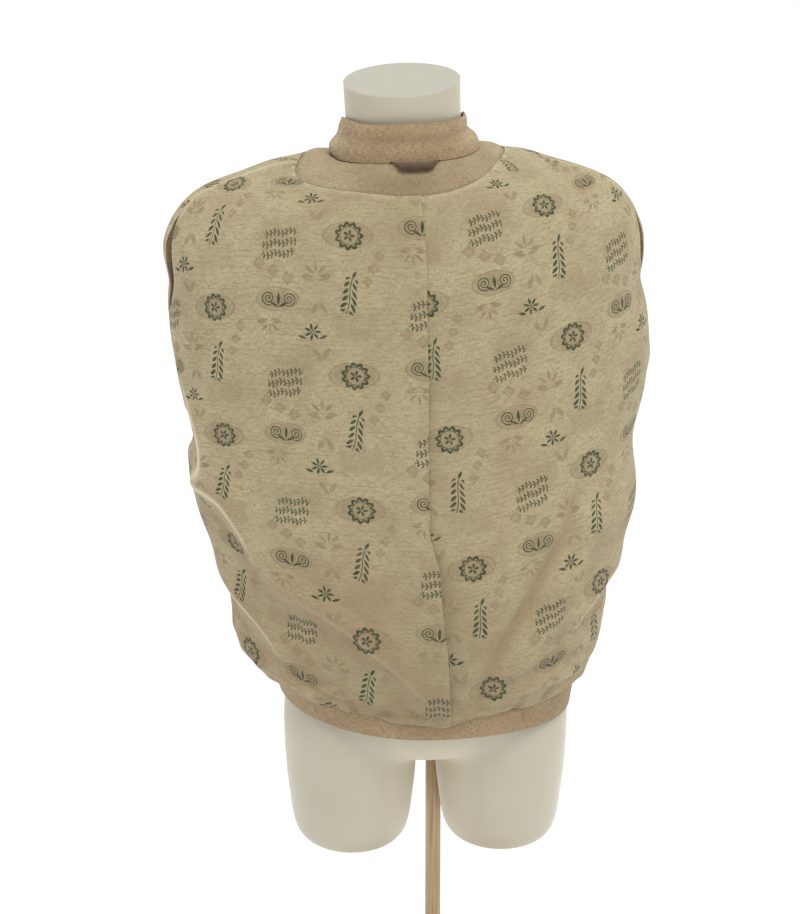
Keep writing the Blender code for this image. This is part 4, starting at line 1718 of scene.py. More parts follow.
LOOP_TAPE = PlainCloth(
    name="loop_tape",
    ground=(0.14, 0.094, 0.05),
    streak=(0.10, 0.066, 0.034),
    pale=(0.19, 0.13, 0.075),
    # Painted warm shade, painted shade and painted highlight along its folds.
    tints=FoldLightAndShade((0.4, 0.9, 0.6), ((0.25, 0.16, 0.09), (0.050, 0.028, 0.014), (0.40, 0.31, 0.20))),
)
FACING_CLOTH = PlainCloth(
    name="facing_cloth",
    ground=(0.360, 0.270, 0.162),
    streak=(0.25, 0.18, 0.102),
    pale=(0.45, 0.355, 0.22),
    # Painted light towards the facing's ends.
    ends=(0.455, 0.375, 0.228),
)
COLLAR_CLOTH = PlainCloth(
    name="collar_cloth",
    ground=(0.386, 0.276, 0.156),
    streak=(0.255, 0.174, 0.094),
    pale=(0.46, 0.35, 0.21),
    # Painted light towards the collar's ends.
    ends=(0.51, 0.405, 0.250),
)
SLEEVE_CLOTH = PlainCloth(
    name="sleeve_cloth",
    ground=(0.33, 0.245, 0.14),
    streak=(0.22, 0.155, 0.085),
    pale=(0.40, 0.30, 0.18),
)


@dataclass(frozen=True)
class FormPlastic:
    """Off-white satin plastic with faint clouding, a painted glow between the thighs and a painted shade on the
    neck cap.
    """

    ground: Colour = (0.54, 0.497, 0.388)
    cloud: Colour = (0.505, 0.455, 0.348)
    # Painted light: a paler glow on the inner thighs and under the crotch.
    pale: Colour = (0.76, 0.695, 0.540)
    # Painted shade: a darker, greyer colour on the top of the neck cap.
    cap_shade: Colour = (0.430, 0.414, 0.342)
    neck_x: float = -41.0

    def make(self) -> bpy.types.Material:
        """The material.

        Returns:
            The material.
        """
        box = Paintbox("form_plastic")
        place = box.object_place()
        clouding = box.noise(place, scale=0.012, detail=4.0).stretched(2.0, -0.5)
        colour = box.blend(clouding, self.ground, self.cloud)
        x, y, z = place
        # Painted glow between the thighs, low down.
        glow_between_thighs = abs(x - HIP_X * MILLIMETRES).stretched(-1.0 / 55.0, 1.0)
        colour = box.blend(glow_between_thighs.both(z.stretched(-1.0 / 60.0, 6.9)) * 0.8, colour, self.pale)
        # Painted shade on the top of the neck cap, found by its plane.
        up = z - (x - self.neck_x) * (SHOULDER_TILT + NECK_TILT) - y * NECK_PITCH - FORM[0].z * MILLIMETRES
        colour = box.blend(up.stretched(2.5, 1.5), colour, self.cap_shade)
        box.raise_by(box.noise(place, scale=0.25, detail=3.0), distance=0.0004, strength=0.12)
        return box.finish(
            colour,
            Roughness=0.55,
            Sheen_Weight=0.5,
            Sheen_Roughness=0.35,
            Coat_Weight=0.06,
            Coat_Roughness=0.35,
        )


@dataclass(frozen=True)
class StandWood:
    """Pale straight-grained wood."""

    name: str = "stand_wood"
    light: Colour = (0.62, 0.455, 0.270)
    dark: Colour = (0.31, 0.215, 0.125)
    lying: bool = False

    def make(self) -> bpy.types.Material:
        """The material.

        Returns:
            The material.
        """
        box = Paintbox(self.name)
        x, y, z = box.object_place()
        place = (x * 0.02, y, z) if self.lying else (x, y, z * 0.02)
        grain = box.noise(place, scale=0.35, detail=4.0, rough=0.6)
        pore = box.noise(place, scale=1.6, detail=2.0)
        colour = box.blend(grain.stretched(3.2, -1.2), self.light, self.dark)
        colour = box.blend(pore.stretched(3.0, -1.6), colour, self.dark)
        box.raise_by(grain, distance=0.0005, strength=0.3)
        return box.finish(colour, Roughness=0.55, Coat_Weight=0.1)


# Mesh helpers

WELD = 1e-6
SHARP_CLOTH = 50.0
SHARP_FORM = 35.0
SHARP_WOOD = 40.0


def make_shell(
    name: str, points: Array, flat: Array, wall: float, paint: dict[Paint, Array], tube: bool = False
) -> bpy.types.Object:
    """A thin shell of cloth behind a grid of outer points.

    Args:
        name: The piece's name.
        points: Rows and columns of outer points, seen from outside with columns to the right.
        flat: The points' places on the flat cloth.
        wall: Thickness, inwards.
        paint: Numbers painted on the points.
        tube: Whether the last column meets the first.

    Returns:
        The piece, with modifiers applied.
    """
    rows, columns = points.shape[:2]
    index = np.arange(rows * columns).reshape(rows, columns)
    corners = (index[:-1, :-1], index[1:, :-1], index[1:, 1:], index[:-1, 1:])
    faces = np.stack(corners, -1).reshape(-1, 4)
    mesh = bpy.data.meshes.new(name)
    mesh.from_pydata(points.reshape(-1, 3).tolist(), [], faces.tolist())
    layer = mesh.uv_layers.new(name="flat")
    loops = np.zeros(len(mesh.loops), np.int32)
    mesh.loops.foreach_get("vertex_index", loops)
    layer.data.foreach_set("uv", flat.reshape(-1, 2)[loops].astype(np.float32).ravel())
    for kind in Paint:
        attribute = mesh.attributes.new(kind.value, "FLOAT", "POINT")
        values = np.broadcast_to(paint.get(kind, 0.0), (rows, columns))
        attribute.data.foreach_set("value", values.astype(np.float32).ravel())
    if tube:
        bm = bmesh.new()
        bm.from_mesh(mesh)
        bmesh.ops.remove_doubles(bm, verts=bm.verts[:], dist=WELD)
        bm.to_mesh(mesh)
        bm.free()
    piece = bpy.data.objects.new(name, mesh)
    bpy.context.scene.collection.objects.link(piece)
    solid = piece.modifiers.new("wall", "SOLIDIFY")
    solid.thickness = wall
    solid.offset = -1.0
    apply_modifiers(piece)
    mesh.shade_smooth()
    mesh.set_sharp_from_angle(angle=math.radians(SHARP_CLOTH))
    return piece


def apply_modifiers(piece: bpy.types.Object) -> None:
    """Apply all modifiers of a piece.

    Args:
        piece: The piece.
    """
    bpy.ops.object.select_all(action="DESELECT")
    piece.select_set(True)
    bpy.context.view_layer.objects.active = piece
    for modifier in list(piece.modifiers):
        bpy.ops.object.modifier_apply(modifier=modifier.name)


def dress(piece: bpy.types.Object, material: bpy.types.Material, slot: Slot, *nodes: str) -> None:
    """Give a piece its finish and its place in the frame.

    Args:
        piece: The piece.
        material: Its finish.
        slot: The record's slot.
        nodes: CAD nodes it stands for.
    """
    piece.data.materials.clear()
    piece.data.materials.append(material)
    if nodes:
        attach(piece, ROOT)
        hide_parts(*nodes)
    LOG.info("%s: %d faces, %s", piece.name, len(piece.data.polygons), slot.value)


def shares(length: float, step: float, near: Sequence[float] = (0.0008, 0.0017, 0.0028, 0.0042)) -> Array:
    """Places across a length, from 0 to 1, closer together at both ends.

    Args:
        length: The length.
        step: Usual distance.
        near: Further places from each end.

    Returns:
        The places in order.
    """
    even = np.linspace(0.0, 1.0, max(4, round(length / step)) + 1)
    inner = even[(even * length > near[-1] + 0.4 * step) & ((1.0 - even) * length > near[-1] + 0.4 * step)]
    ends = np.array((0.0, *near)) / length
    return np.concatenate([ends, inner, 1.0 - ends[::-1]])


class Rim(NamedTuple):
    """One edge of a panel: how far it sinks, from how far in, and how strong a painted highlight it has."""

    sink: float = 0.0014
    reach: float = 0.0042
    light: float = 0.0


@dataclass
class Panel:
    """A cut piece of the body: a thin shell on a patch of its surface.

    Its rims are those of its top, bottom, start and end.
    """

    name: str
    slot: Slot
    start: Edge
    end: Edge
    top: Edge
    bottom: Edge
    flat: tuple[float, float]
    area: float
    lifts: tuple[Field, ...] = ()
    # Painted shades of the panel's own, by row and turn.
    shades: tuple[Field, ...] = ()
    lay: Field = lay_straight
    # Painted warm shade of the panel's own, by row and turn.
    warm_shade: Field = no_warm_shade
    rims: tuple[Rim, Rim, Rim, Rim] = (Rim(), Rim(), Rim(), Rim())
    wall: float = 0.0013
    step: float = 0.003
    centre: float = CENTRE_BACK
    # Blur and depth of the painted shade in hollows, and place and reach of the painted highlight along rims.
    shade_blur: float = 4.0
    shade_depth: float = 0.0018
    rim_light: float = 0.002
    rim_light_reach: float = 0.003
    piece: bpy.types.Object | None = field(default=None, init=False)

    def build(self, surface: BodySurface) -> None:
        """Make the shell.

        Args:
            surface: The jacket's body.
        """
        rough = surface.smooth(*self._patch(*[np.linspace(0.0, 1.0, 25)] * 2))
        down, across = (shares(float(walked(rough, axis).max()), self.step) for axis in (0, 1))
        rows, turns = self._patch(down, across)
        points = surface.smooth(rows, turns)
        relief = surface.relief(rows, turns)
        height = relief.height + sum(lift(rows, turns) for lift in self.lifts)
        # Painted highlight along crests and, below, along the rims.
        light = relief.light
        from_top, from_start = walked(points, 0), walked(points, 1)
        aways = (from_top, from_top[-1:] - from_top, from_start, from_start[:, -1:] - from_start)
        for away, rim in zip(aways, self.rims):
            height = height + rolled(away, rim.reach, rim.sink)
            light = np.maximum(light, rim.light * hump(away, self.rim_light, self.rim_light_reach))
        # Painted shade where the cloth lies lower than around it, and the panel's own painted shades.
        hollow = np.clip((blurred(height, self.shade_blur) - height) / self.shade_depth, 0.0, 1.0)
        for shade in self.shades:
            hollow = 1.0 - (1.0 - hollow) * (1.0 - shade(rows, turns))
        points = points + surface.outward(rows, turns) * height[..., None]
        flat = self.lay(surface.flat(rows, turns, self.centre), rows)
        # Painted warm shade from the creases and the panel's own.
        warm = np.maximum(relief.warm, self.warm_shade(rows, turns))
        paint = {Paint.LIGHT: light, Paint.WARM_SHADE: warm, Paint.SHADE: hollow}
        self.piece = make_shell(self.name, points, flat, self.wall, paint)

    def _patch(self, down: Array, across: Array) -> tuple[Array, Array]:
        """Rows and turns of a grid between the panel's edges.

        Args:
            down: Places from its top to its bottom, 0 to 1.
            across: Places from its start to its end, 0 to 1.

        Returns:
            The grid's rows and turns.
        """
        rows = turns = np.full((len(down), len(across)), WAIST_ROW)
        for _ in range(4):
            turns = self.start(rows) + (self.end(rows) - self.start(rows)) * across[None, :]
            rows = self.top(turns) + (self.bottom(turns) - self.top(turns)) * down[:, None]
        return rows, turns

    def dress(self, material: bpy.types.Material) -> None:
        """Finish the panel.

        Args:
            material: Its cloth.
        """
        dress(self.piece, material, self.slot, self.name.removesuffix("_cloth"))


@dataclass
class StandCollar:
    """The stand collar, open at the centre front."""

    front_gap: float = 1.5
    columns: int = 260
    step: float = 0.0022
    near: tuple[float, ...] = (0.0007, 0.0015, 0.0025)
    wall: float = 0.0024
    high: float = 0.04
    hollow: float = 0.0024
    right_hollow: float = 0.0045
    left_turn: float = -176.0
    left_rise: float = 0.0070
    left_bulge: float = 0.0038
    left_pinch: float = 0.0012
    lower_sides: float = 0.0016
    lower_front: float = 0.0080
    crease_turn: float = -164.0
    crease_down: float = 0.0105
    crease_slope: float = 0.0006
    crease_height: float = 0.0010
    top_wave: Ripple = Ripple(0.0010, 0.06, 13)
    swells: tuple[Ripple, ...] = (Ripple(0.0009, 0.035, 11), Ripple(0.0005, 0.015, 12))
    flat: tuple[float, float] = (0.485, 0.04)
    piece: bpy.types.Object | None = field(default=None, init=False)

    def build(self, surface: BodySurface) -> None:
        """Make the collar's shell.

        Args:
            surface: The jacket's body.
        """
        down = shares(self.high, self.step, self.near)
        turns = np.linspace(LEFT_FRONT + self.front_gap, RIGHT_FRONT - self.front_gap, self.columns)[None, :]
        place = ((1.0 - down) * (len(COLLAR) - 1))[:, None] + np.zeros_like(turns)
        turns = turns + np.zeros_like(place)
        up, side, back = np.moveaxis(along_table(COLLAR, place), -1, 0)
        seam = surface.smooth(np.zeros_like(place), turns)
        u = surface.flat(np.zeros_like(place), turns)[..., 0]
        v = down[:, None] * self.high + np.zeros_like(turns)
        off_crease = v - self.crease_down + (turns - self.crease_turn) * self.crease_slope
        crease = hump(turns, self.crease_turn, 9.0) * hump(off_crease, 0.0, 0.0014)
        bulge = self._bulge(u, v, turns) + self.crease_height * crease
        angle = np.radians(turns)
        x = seam[..., 0] - (side - bulge) * np.cos(angle) + LEAN * up
        y = seam[..., 1] - (back - bulge) * np.sin(angle)
        z = seam[..., 2] + up + self._wave(u, turns) * eased(up / COLLAR[-1].up)
        # Painted shade at the back and along the edges, and a painted highlight on the crease.
        paint = {Paint.SHADE: self._shadow(v, turns), Paint.LIGHT: crease}
        points, flat = np.stack([x, y, z], -1), np.stack([u, v], -1)
        self.piece = make_shell("collar_cloth", points, flat, self.wall, paint)

    def _bulge(self, u: Array, v: Array, turns: Array) -> Array:
        """How far the collar's cloth swells out.

        Args:
            u: Length round the cloth.
            v: Length down the cloth from the collar's top.
            turns: Turns of the body.

        Returns:
            Heights over the collar's rings.
        """
        edges = rolled(v, 0.0030, 0.0012) + rolled(self.high - v, 0.0020, 0.0005)
        middle = self.hollow * hump(v, 0.018, 0.007)
        left = self.left_bulge * hump(v, 0.029, 0.008) - self.left_pinch * hump(v, self.high, 0.004)
        right = self.right_hollow * hump(v, 0.018, 0.008)
        ends = hump(turns, self.left_turn, 13.0) * left - hump(turns, -8.0, 26.0) * right
        return edges - middle + ends + sum(swell.over(u, v) for swell in self.swells)

    def _wave(self, u: Array, turns: Array) -> Array:
        """How much higher the collar's top edge is than its rings.

        Args:
            u: Length round the cloth.
            turns: Turns of the body.

        Returns:
            Heights.
        """
        across, along = np.cos(np.radians(turns)), np.sin(np.radians(turns))
        rise = self.left_rise * hump(turns, self.left_turn + 10.0, 30.0)
        drop = self.lower_sides * across**2 + self.lower_front * eased(along / 0.4)
        return self.top_wave.over(u, 0.0 * u) + rise - drop

    def _shadow(self, v: Array, turns: Array) -> Array:
        """Painted shade at the collar's back and along both its edges.

        Args:
            v: Length down the cloth from the collar's top.
            turns: Turns of the body.

        Returns:
            Shadow from 0 to 1.
        """
        back = (0.22 + 0.55 * hump(v, 0.017, 0.0055)) * hump(turns, -92.0, 44.0)
        edges = 0.7 * hump(v, self.high, 0.0014) + 0.5 * hump(v, 0.0, 0.0012)
        return np.clip(back + edges, 0.0, 1.0)

    def dress(self, material: bpy.types.Material) -> None:
        """Finish the collar.

        Args:
            material: Its cloth.
        """
        dress(self.piece, material, Slot.PLAIN, "collar")


@dataclass
class HangerLoop:
    """The hanger loop: a narrow strip caught in the collar seam at both ends."""

    middle_turn: float = -87.0
    half_turn: float = 19.0
    start_row: float = 0.04
    drop_rows: float = 0.05
    deep_rows: float = 0.31
    end_rows: float = 0.03
    lift: float = 0.0018
    bow: float = 0.0030
    arch: float = 0.0012
    tilt: float = 0.0016
    wall: float = 0.0011
    flat: tuple[float, float] = (0.0102, 0.055)
    piece: bpy.types.Object | None = field(default=None, init=False)

    def build(self, surface: BodySurface) -> None:
        """Make the strip.

        Args:
            surface: The jacket's body.
        """
        edge, share = np.meshgrid(np.linspace(0.0, 1.0, 13), np.linspace(-1.0, 1.0, 61), indexing="ij")
        turns = self.middle_turn + self.half_turn * share
        top = self.start_row + self.drop_rows * (1.0 - share**2)
        low = self.start_row + self.end_rows + self.deep_rows * eased((1.0 - np.abs(share)) / 0.5)
        rows = top + (low - top) * edge
        sag = np.cos(np.pi / 2.0 * share)
        height = self.lift + (self.bow + self.tilt * edge) * sag + self.arch * np.sin(np.pi * edge)
        points = surface.smooth(rows, turns) + surface.outward(rows, turns) * height[..., None]
        # Painted highlight along the top edge, and painted shade along the lower edge.
        paint = {Paint.LIGHT: 0.5 * hump(edge, 0.0, 0.12), Paint.SHADE: hump(edge, 1.0, 0.48)}
        self.piece = make_shell("hanger_loop_tape", points, surface.flat(rows, turns), self.wall, paint)

    def dress(self, material: bpy.types.Material) -> None:
        """Finish the loop.

        Args:
            material: Its cloth.
        """
        dress(self.piece, material, Slot.PLAIN, "hanger_loop")


@dataclass
class TuckedSleeve:
    """A sleeve that hangs inside the body from its armhole."""

    name: str
    armhole: Armhole
    back_edge: Edge
    front_edge: Edge
    around: int = 72
    rings: int = 130
    back: float = -0.010
    behind: float = 0.0022
    inset: float = 0.0012
    calm: float = 0.05
    ripple: Ripple = Ripple(0.0012, 0.03, 21)
    wall: float = 0.0012
    flat: tuple[float, float] = (0.24, 0.48)
    area: float = 0.10
    piece: bpy.types.Object | None = field(default=None, init=False)

    def build(self, surface: BodySurface) -> None:
        """Make the sleeve's tube.

        Args:
            surface: The jacket's body.
        """
        on_left = self.armhole.side == LEFT_SIDE
        side = -1.0 if on_left else 1.0
        angle = np.linspace(0.0, 2.0 * np.pi, self.around + 1)
        down = 1.0 - np.abs(1.0 - angle / np.pi)
        mouth_rows = self.armhole.top + (self.armhole.bottom - self.armhole.top) * down
        mouth_turns = np.where(angle <= np.pi, self.back_edge(mouth_rows), self.front_edge(mouth_rows))
        height = surface.relief(mouth_rows, mouth_turns).height - self.behind
        mouth = surface.smooth(mouth_rows, mouth_turns)
        mouth = mouth + surface.outward(mouth_rows, mouth_turns) * height[:, None]
        hanging = []
        for ring in SLEEVE:
            z = ring.z + ring.rise * np.cos(angle)
            out = ring.out - ring.half * np.cos(angle)
            hanging.append(np.stack([axis_x(z) + side * out, self.back - ring.deep * np.sin(angle), z], -1))
        lines = np.array([mouth, *hanging])
        places = np.linspace(0.0, len(SLEEVE), self.rings)
        points = along_table(lines.reshape(len(lines), -1), places).reshape(self.rings, self.around + 1, 3)
        u, v = walked(points, 1), walked(points, 0)
        away = points - points.mean(axis=1, keepdims=True)
        away /= np.linalg.norm(away, axis=2, keepdims=True) + 1e-9
        wave = self.ripple.over(u, v) * eased(v / self.calm)
        points = points + away * (wave - self.inset)[..., None]
        points[:, -1] = points[:, 0]
        if not on_left:
            points, u, v = points[:, ::-1], u[:, ::-1], v[:, ::-1]
        self.piece = make_shell(self.name, points, np.stack([u, v], -1), self.wall, {}, tube=True)

    def dress(self, material: bpy.types.Material) -> None:
        """Finish the sleeve.

        Args:
            material: Its cloth.
        """
        dress(self.piece, material, Slot.PLAIN, self.name.removesuffix("_cloth"))


@dataclass
class TorsoForm:
    """The smooth torso form with its two thigh stumps."""

    sides: int = 128
    rings: int = 170
    thigh_rings: int = 70
    thigh_back: float = -0.010
    right_drop: float = 0.003
    rim: float = 0.0009
    smoothing: int = 40
    joint_top: float = 0.430
    joint_bottom: float = 0.325
    piece: bpy.types.Object | None = field(default=None, init=False)

    def build(self) -> None:
        """Loft the torso and thighs, and run them together."""
        angle = np.linspace(0.0, 2.0 * np.pi, self.sides, endpoint=False)
        table = along_table(FORM, np.linspace(0, len(FORM) - 1, self.rings))
        z, half, back, front = np.moveaxis(table, -1, 0)[..., None]
        across = half * np.cos(angle)
        y = np.where(np.sin(angle) >= 0.0, front, back) * np.sin(angle)
        up_neck = ramp(z, NECK_FOOT, NECK_RISE)
        tilt = SHOULDER_TILT * ramp(z, HIP_Z, FORM[0].z - HIP_Z) + NECK_TILT * up_neck
        points = np.stack([axis_x(z) + across, y, z + tilt * across + NECK_PITCH * up_neck * y], -1)
        self.piece = self._loft("form_torso_smooth", self._rimmed(points))
        table = along_table(THIGH, np.linspace(0, len(THIGH) - 1, self.thigh_rings))
        z, out, half, deep = np.moveaxis(table, -1, 0)[..., None]
        for side, drop in ((-1.0, 0.0), (1.0, self.right_drop)):
            x = HIP_X + side * out + half * np.cos(angle)
            y = self.thigh_back + deep * np.sin(angle)
            thigh = self._loft("thigh", np.stack([x, y, z - drop + 0.0 * x], -1))
            join = self.piece.modifiers.new("join", "BOOLEAN")
            join.operation = "UNION"
            join.object = thigh
            apply_modifiers(self.piece)
            bpy.data.objects.remove(thigh)
        self._soften()

    def _rimmed(self, points: Array) -> Array:
        """Rings with a small rounding at the top.

        Args:
            points: The form's rings.

        Returns:
            The rings, with one more inside the first.
        """
        middle = points[0].mean(axis=0)
        inner = middle + (points[0] - middle) * (1.0 - self.rim / FORM[0].half)
        points[0, :, 2] -= self.rim * 0.8
        return np.concatenate([inner[None], points])

    def _soften(self) -> None:
        """Smooth the joints between the torso and the thighs."""
        mesh = self.piece.data
        place = np.zeros(len(mesh.vertices) * 3)
        mesh.vertices.foreach_get("co", place)
        z = place.reshape(-1, 3)[:, 2]
        weights = eased((self.joint_top - z) / 0.02) * ramp(z, self.joint_bottom, 0.025)
        group = self.piece.vertex_groups.new(name="joint")
        for index, weight in enumerate(weights):
            group.add([index], float(weight), "REPLACE")
        soften = self.piece.modifiers.new("soften", "SMOOTH")
        soften.factor = 0.5
        soften.iterations = self.smoothing
        soften.vertex_group = group.name
        apply_modifiers(self.piece)
        self.piece.vertex_groups.clear()
        mesh.shade_smooth()
        mesh.set_sharp_from_angle(angle=math.radians(SHARP_FORM))

    @staticmethod
    def _loft(name: str, points: Array) -> bpy.types.Object:
        """A closed loft through rings, shaped from a grid.

        Args:
            name: The loft's name.
            points: Rings of points.

        Returns:
            The loft.
        """
        rings, sides = points.shape[:2]
        bpy.ops.object.select_all(action="DESELECT")
        bpy.ops.mesh.primitive_grid_add(x_subdivisions=sides, y_subdivisions=rings - 1, size=2.0)
        loft = bpy.context.object
        loft.name = name
        bm = bmesh.new()
        bm.from_mesh(loft.data)
        for vertex in bm.verts:
            column = round((vertex.co.x + 1.0) / 2.0 * sides) % sides
            row = round((vertex.co.y + 1.0) / 2.0 * (rings - 1))
            vertex.co = points[row, column]
        bmesh.ops.remove_doubles(bm, verts=bm.verts[:], dist=WELD)
        bmesh.ops.holes_fill(bm, edges=[edge for edge in bm.edges if edge.is_boundary], sides=0)
        bmesh.ops.recalc_face_normals(bm, faces=bm.faces[:])
        bm.to_mesh(loft.data)
        bm.free()
        return loft

    def dress(self, material: bpy.types.Material) -> None:
        """Finish the form.

        Args:
            material: Its plastic.
        """
        dress(self.piece, material, Slot.FORM, "form_torso")


@dataclass
class Stand:
    """The post and base, which keep the part's own shape."""

    post: str = "stand_post"
    base: str = "stand_base"

    def build(self) -> None:
        """Smooth the shading of the part's own solids."""
        for name in (self.post, self.base):
            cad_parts[name].data.shade_smooth()
            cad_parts[name].data.set_sharp_from_angle(angle=math.radians(SHARP_WOOD))

    def dress(self, post: bpy.types.Material, base: bpy.types.Material) -> None:
        """Finish the post and base.

        Args:
            post: The post's wood.
            base: The base's wood.
        """
        dress(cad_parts[self.post], post, Slot.WOOD)
        dress(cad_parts[self.base], base, Slot.WOOD)


class Sun(NamedTuple):
    """One soft light: strength, place round the jacket in degrees, how wide it is, and colour."""

    name: str
    energy: float
    azimuth: float
    elevation: float
    softness: float
    colour: Colour = (1.0, 0.98, 0.94)


@dataclass
class Studio:
    """White floor, soft light and the camera at the photo's angle."""

    azimuth: float = -5.0
    elevation: float = 20.0
    distance: float = 3.6
    target: tuple[float, float, float] = (-0.0425, 0.0, 0.70)
    lens: float = 127.0
    sensor: float = 36.0
    floor_size: float = 60.0
    floor_z: float = -0.0005
    floor_colours: tuple[Colour, Colour] = ((0.06, 0.06, 0.06), (0.08, 0.08, 0.08))
    sky: float = 0.52
    sky_colour: Colour = (0.97, 1.0, 0.98)
    suns: tuple[Sun, ...] = (
        Sun("key", 1.90, 15.0, 62.0, 38.0),
        Sun("backdrop", 1.3, 180.0, 12.0, 140.0),
        Sun("left", 0.45, -118.0, 6.0, 70.0),
        Sun("right", 0.35, 118.0, 6.0, 70.0),
    )

    def build(self) -> None:
        """Make the floor, lights and camera."""
        self._floor()
        world = bpy.context.scene.world or bpy.data.worlds.new("studio")
        bpy.context.scene.world = world
        world.use_nodes = True
        background = world.node_tree.nodes["Background"]
        background.inputs["Color"].default_value = (*self.sky_colour, 1.0)
        background.inputs["Strength"].default_value = self.sky
        for sun in self.suns:
            self._shine(sun)
        self._camera()
        settings = bpy.context.scene.view_settings
        settings.view_transform = "Standard"
        settings.look = "None"

    def _floor(self) -> None:
        """The plain white floor, lit from within like a light table."""
        bpy.ops.object.select_all(action="DESELECT")
        bpy.ops.mesh.primitive_plane_add(size=self.floor_size, location=(0.0, 0.0, self.floor_z))
        floor = bpy.context.object
        floor.name = "floor"
        box = Paintbox("floor")
        cloud = box.noise(box.object_place(), scale=0.0005, detail=2.0)
        colour = box.blend(cloud, *self.floor_colours)
        finish = box.finish(colour, Roughness=1.0, Specular_IOR_Level=0.0, Emission_Strength=1.02)
        floor.data.materials.append(finish)

    @staticmethod
    def _towards(azimuth: float, elevation: float) -> Vector:
        """Direction from the jacket to a place round it, where azimuth 0 is straight behind its back."""
        a, e = math.radians(azimuth), math.radians(elevation)
        return Vector((math.sin(a) * math.cos(e), -math.cos(a) * math.cos(e), math.sin(e)))

    def _shine(self, sun: Sun) -> None:
        """Add one soft light.

        Args:
            sun: The light.
        """
        light = bpy.data.lights.new(sun.name, "SUN")
        light.energy = sun.energy
        light.color = sun.colour
        light.angle = math.radians(sun.softness)
        lamp = bpy.data.objects.new(sun.name, light)
        lamp.rotation_mode = "QUATERNION"
        lamp.rotation_quaternion = (-self._towards(sun.azimuth, sun.elevation)).to_track_quat("-Z", "Y")
        bpy.context.scene.collection.objects.link(lamp)

    def _camera(self) -> None:
        """The camera at the photo's angle."""
        back = self._towards(self.azimuth, self.elevation)
        data = bpy.data.cameras.new("photo")
        data.lens = self.lens
        data.sensor_width = self.sensor
        camera = bpy.data.objects.new("photo", data)
        camera.location = Vector(self.target) + back * self.distance
        camera.rotation_mode = "QUATERNION"
        camera.rotation_quaternion = (-back).to_track_quat("-Z", "Y")
        bpy.context.scene.collection.objects.link(camera)
        bpy.context.scene.camera = camera


# Rims with a light share get a painted highlight along their edge.
TOP_RIM = Rim(0.0003, 0.0030, 0.15)
HEM_RIM = Rim(0.0036, 0.0075)
SIDE_RIM = Rim(0.0012, 0.0042, 0.2)
NO_RIM = Rim(0.0, 0.0042)
LINING_RIMS = (TOP_RIM, HEM_RIM, SIDE_RIM, SIDE_RIM)
LEFT_SEAM = LEFT_FRONT + FACING_WIDTH
RIGHT_SEAM = RIGHT_FRONT - FACING_WIDTH
under_lap_edge = level(LEFT_FRONT - FRONT_LAP)
over_lap_edge = level(RIGHT_FRONT + FRONT_LAP)
FINE_STEP = 0.0024
LINING_PANELS = (
    Panel(
        name="back_left_cloth",
        slot=Slot.LINING,
        start=left_back_edge,
        end=pleat_turn,
        top=facing_seam,
        bottom=hem_seam,
        flat=(0.37, 0.66),
        area=0.19,
        lifts=(PLEAT_FOLD.over, hem_bag),
        shades=(back_shade,),
        lay=lay_left,
        warm_shade=low_warm_shade,
        rims=(TOP_RIM, HEM_RIM, SIDE_RIM, NO_RIM),
        step=FINE_STEP,
    ),
    Panel(
        name="back_right_cloth",
        slot=Slot.LINING,
        start=under_pleat_edge,
        end=right_back_edge,
        top=facing_seam,
        bottom=hem_seam,
        flat=(0.38, 0.66),
        area=0.20,
        lifts=(PLEAT_FOLD.under, hem_bag),
        shades=(PLEAT_FOLD.shadow, back_shade),
        lay=lay_right,
        warm_shade=low_warm_shade,
        rims=(TOP_RIM, HEM_RIM, NO_RIM, SIDE_RIM),
        step=FINE_STEP,
    ),
    Panel(
        name="front_left_cloth",
        slot=Slot.LINING,
        start=level(LEFT_SEAM),
        end=left_front_edge,
        top=facing_seam,
        bottom=hem_seam,
        flat=(0.28, 0.63),
        area=0.14,
        lifts=(hem_bag,),
        shades=(back_shade,),
        lay=lay_fronts,
        warm_shade=low_warm_shade,
        rims=LINING_RIMS,
        centre=LEFT_FRONT,
    ),
    Panel(
        name="front_right_cloth",
        slot=Slot.LINING,
        start=right_front_edge,
        end=level(RIGHT_SEAM),
        top=facing_seam,
        bottom=hem_seam,
        flat=(0.28, 0.63),
        area=0.14,
        lifts=(hem_bag,),
        shades=(back_shade,),
        lay=lay_fronts,
        warm_shade=low_warm_shade,
        rims=LINING_RIMS,
        centre=RIGHT_FRONT,
    ),
)
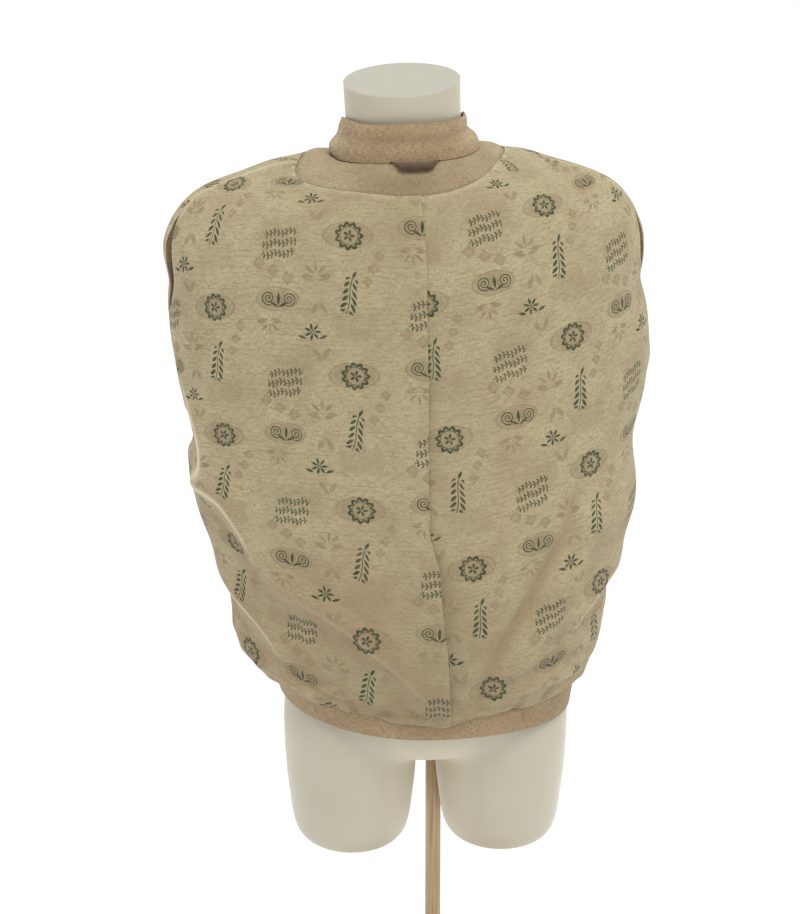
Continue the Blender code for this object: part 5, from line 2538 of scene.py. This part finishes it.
PLAIN_PANELS = (
    Panel(
        name="front_facing_left_cloth",
        slot=Slot.PLAIN,
        start=under_lap_edge,
        end=level(LEFT_SEAM),
        top=facing_seam,
        bottom=hem_seam,
        flat=(0.14, 0.62),
        area=0.075,
        lifts=(hem_bag,),
    ),
    Panel(
        name="front_facing_right_cloth",
        slot=Slot.PLAIN,
        start=level(RIGHT_SEAM),
        end=over_lap_edge,
        top=facing_seam,
        bottom=hem_seam,
        flat=(0.14, 0.62),
        area=0.075,
        lifts=(front_over, hem_bag),
    ),
    Panel(
        name="neck_facing_cloth",
        slot=Slot.PLAIN,
        start=under_lap_edge,
        end=over_lap_edge,
        top=level(0.0),
        bottom=facing_edge,
        flat=(0.76, 0.05),
        area=0.026,
        lifts=(front_over, facing_tuck),
        shades=(facing_shadow,),
    ),
    Panel(
        name="hem_band_cloth",
        slot=Slot.PLAIN,
        start=under_lap_edge,
        end=over_lap_edge,
        top=level(BAND_TOP),
        bottom=level(HEM_ROW),
        flat=(0.95, 0.04),
        area=0.038,
        lifts=(front_over, band_tuck),
        shades=(band_shadow,),
    ),
)


def main() -> None:
    """Build the pieces in order, dress them and set the studio."""
    logging.basicConfig(level=logging.INFO, format="%(message)s")
    surface = BodySurface()
    lining, plain = LiningPrint().make(), PlainCloth().make()
    tape, facing = LOOP_TAPE.make(), FACING_CLOTH.make()
    standing, inner = COLLAR_CLOTH.make(), SLEEVE_CLOTH.make()
    form = TorsoForm()
    form.build()
    form.dress(FormPlastic().make())
    stand = Stand()
    stand.build()
    stand.dress(StandWood().make(), StandWood("base_wood", lying=True).make())
    for panels, cloth in ((LINING_PANELS, lining), (PLAIN_PANELS, plain)):
        for panel in panels:
            panel.build(surface)
            panel.dress(facing if panel.name.startswith("neck") else cloth)
    for piece, cloth in (
        (StandCollar(), standing),
        (HangerLoop(), tape),
        (TuckedSleeve("sleeve_left_cloth", LEFT_ARMHOLE, left_back_edge, left_front_edge), inner),
        (TuckedSleeve("sleeve_right_cloth", RIGHT_ARMHOLE, right_back_edge, right_front_edge), inner),
    ):
        piece.build(surface)
        piece.dress(cloth)
    Studio().build()


if __name__ == "__main__":
    main()
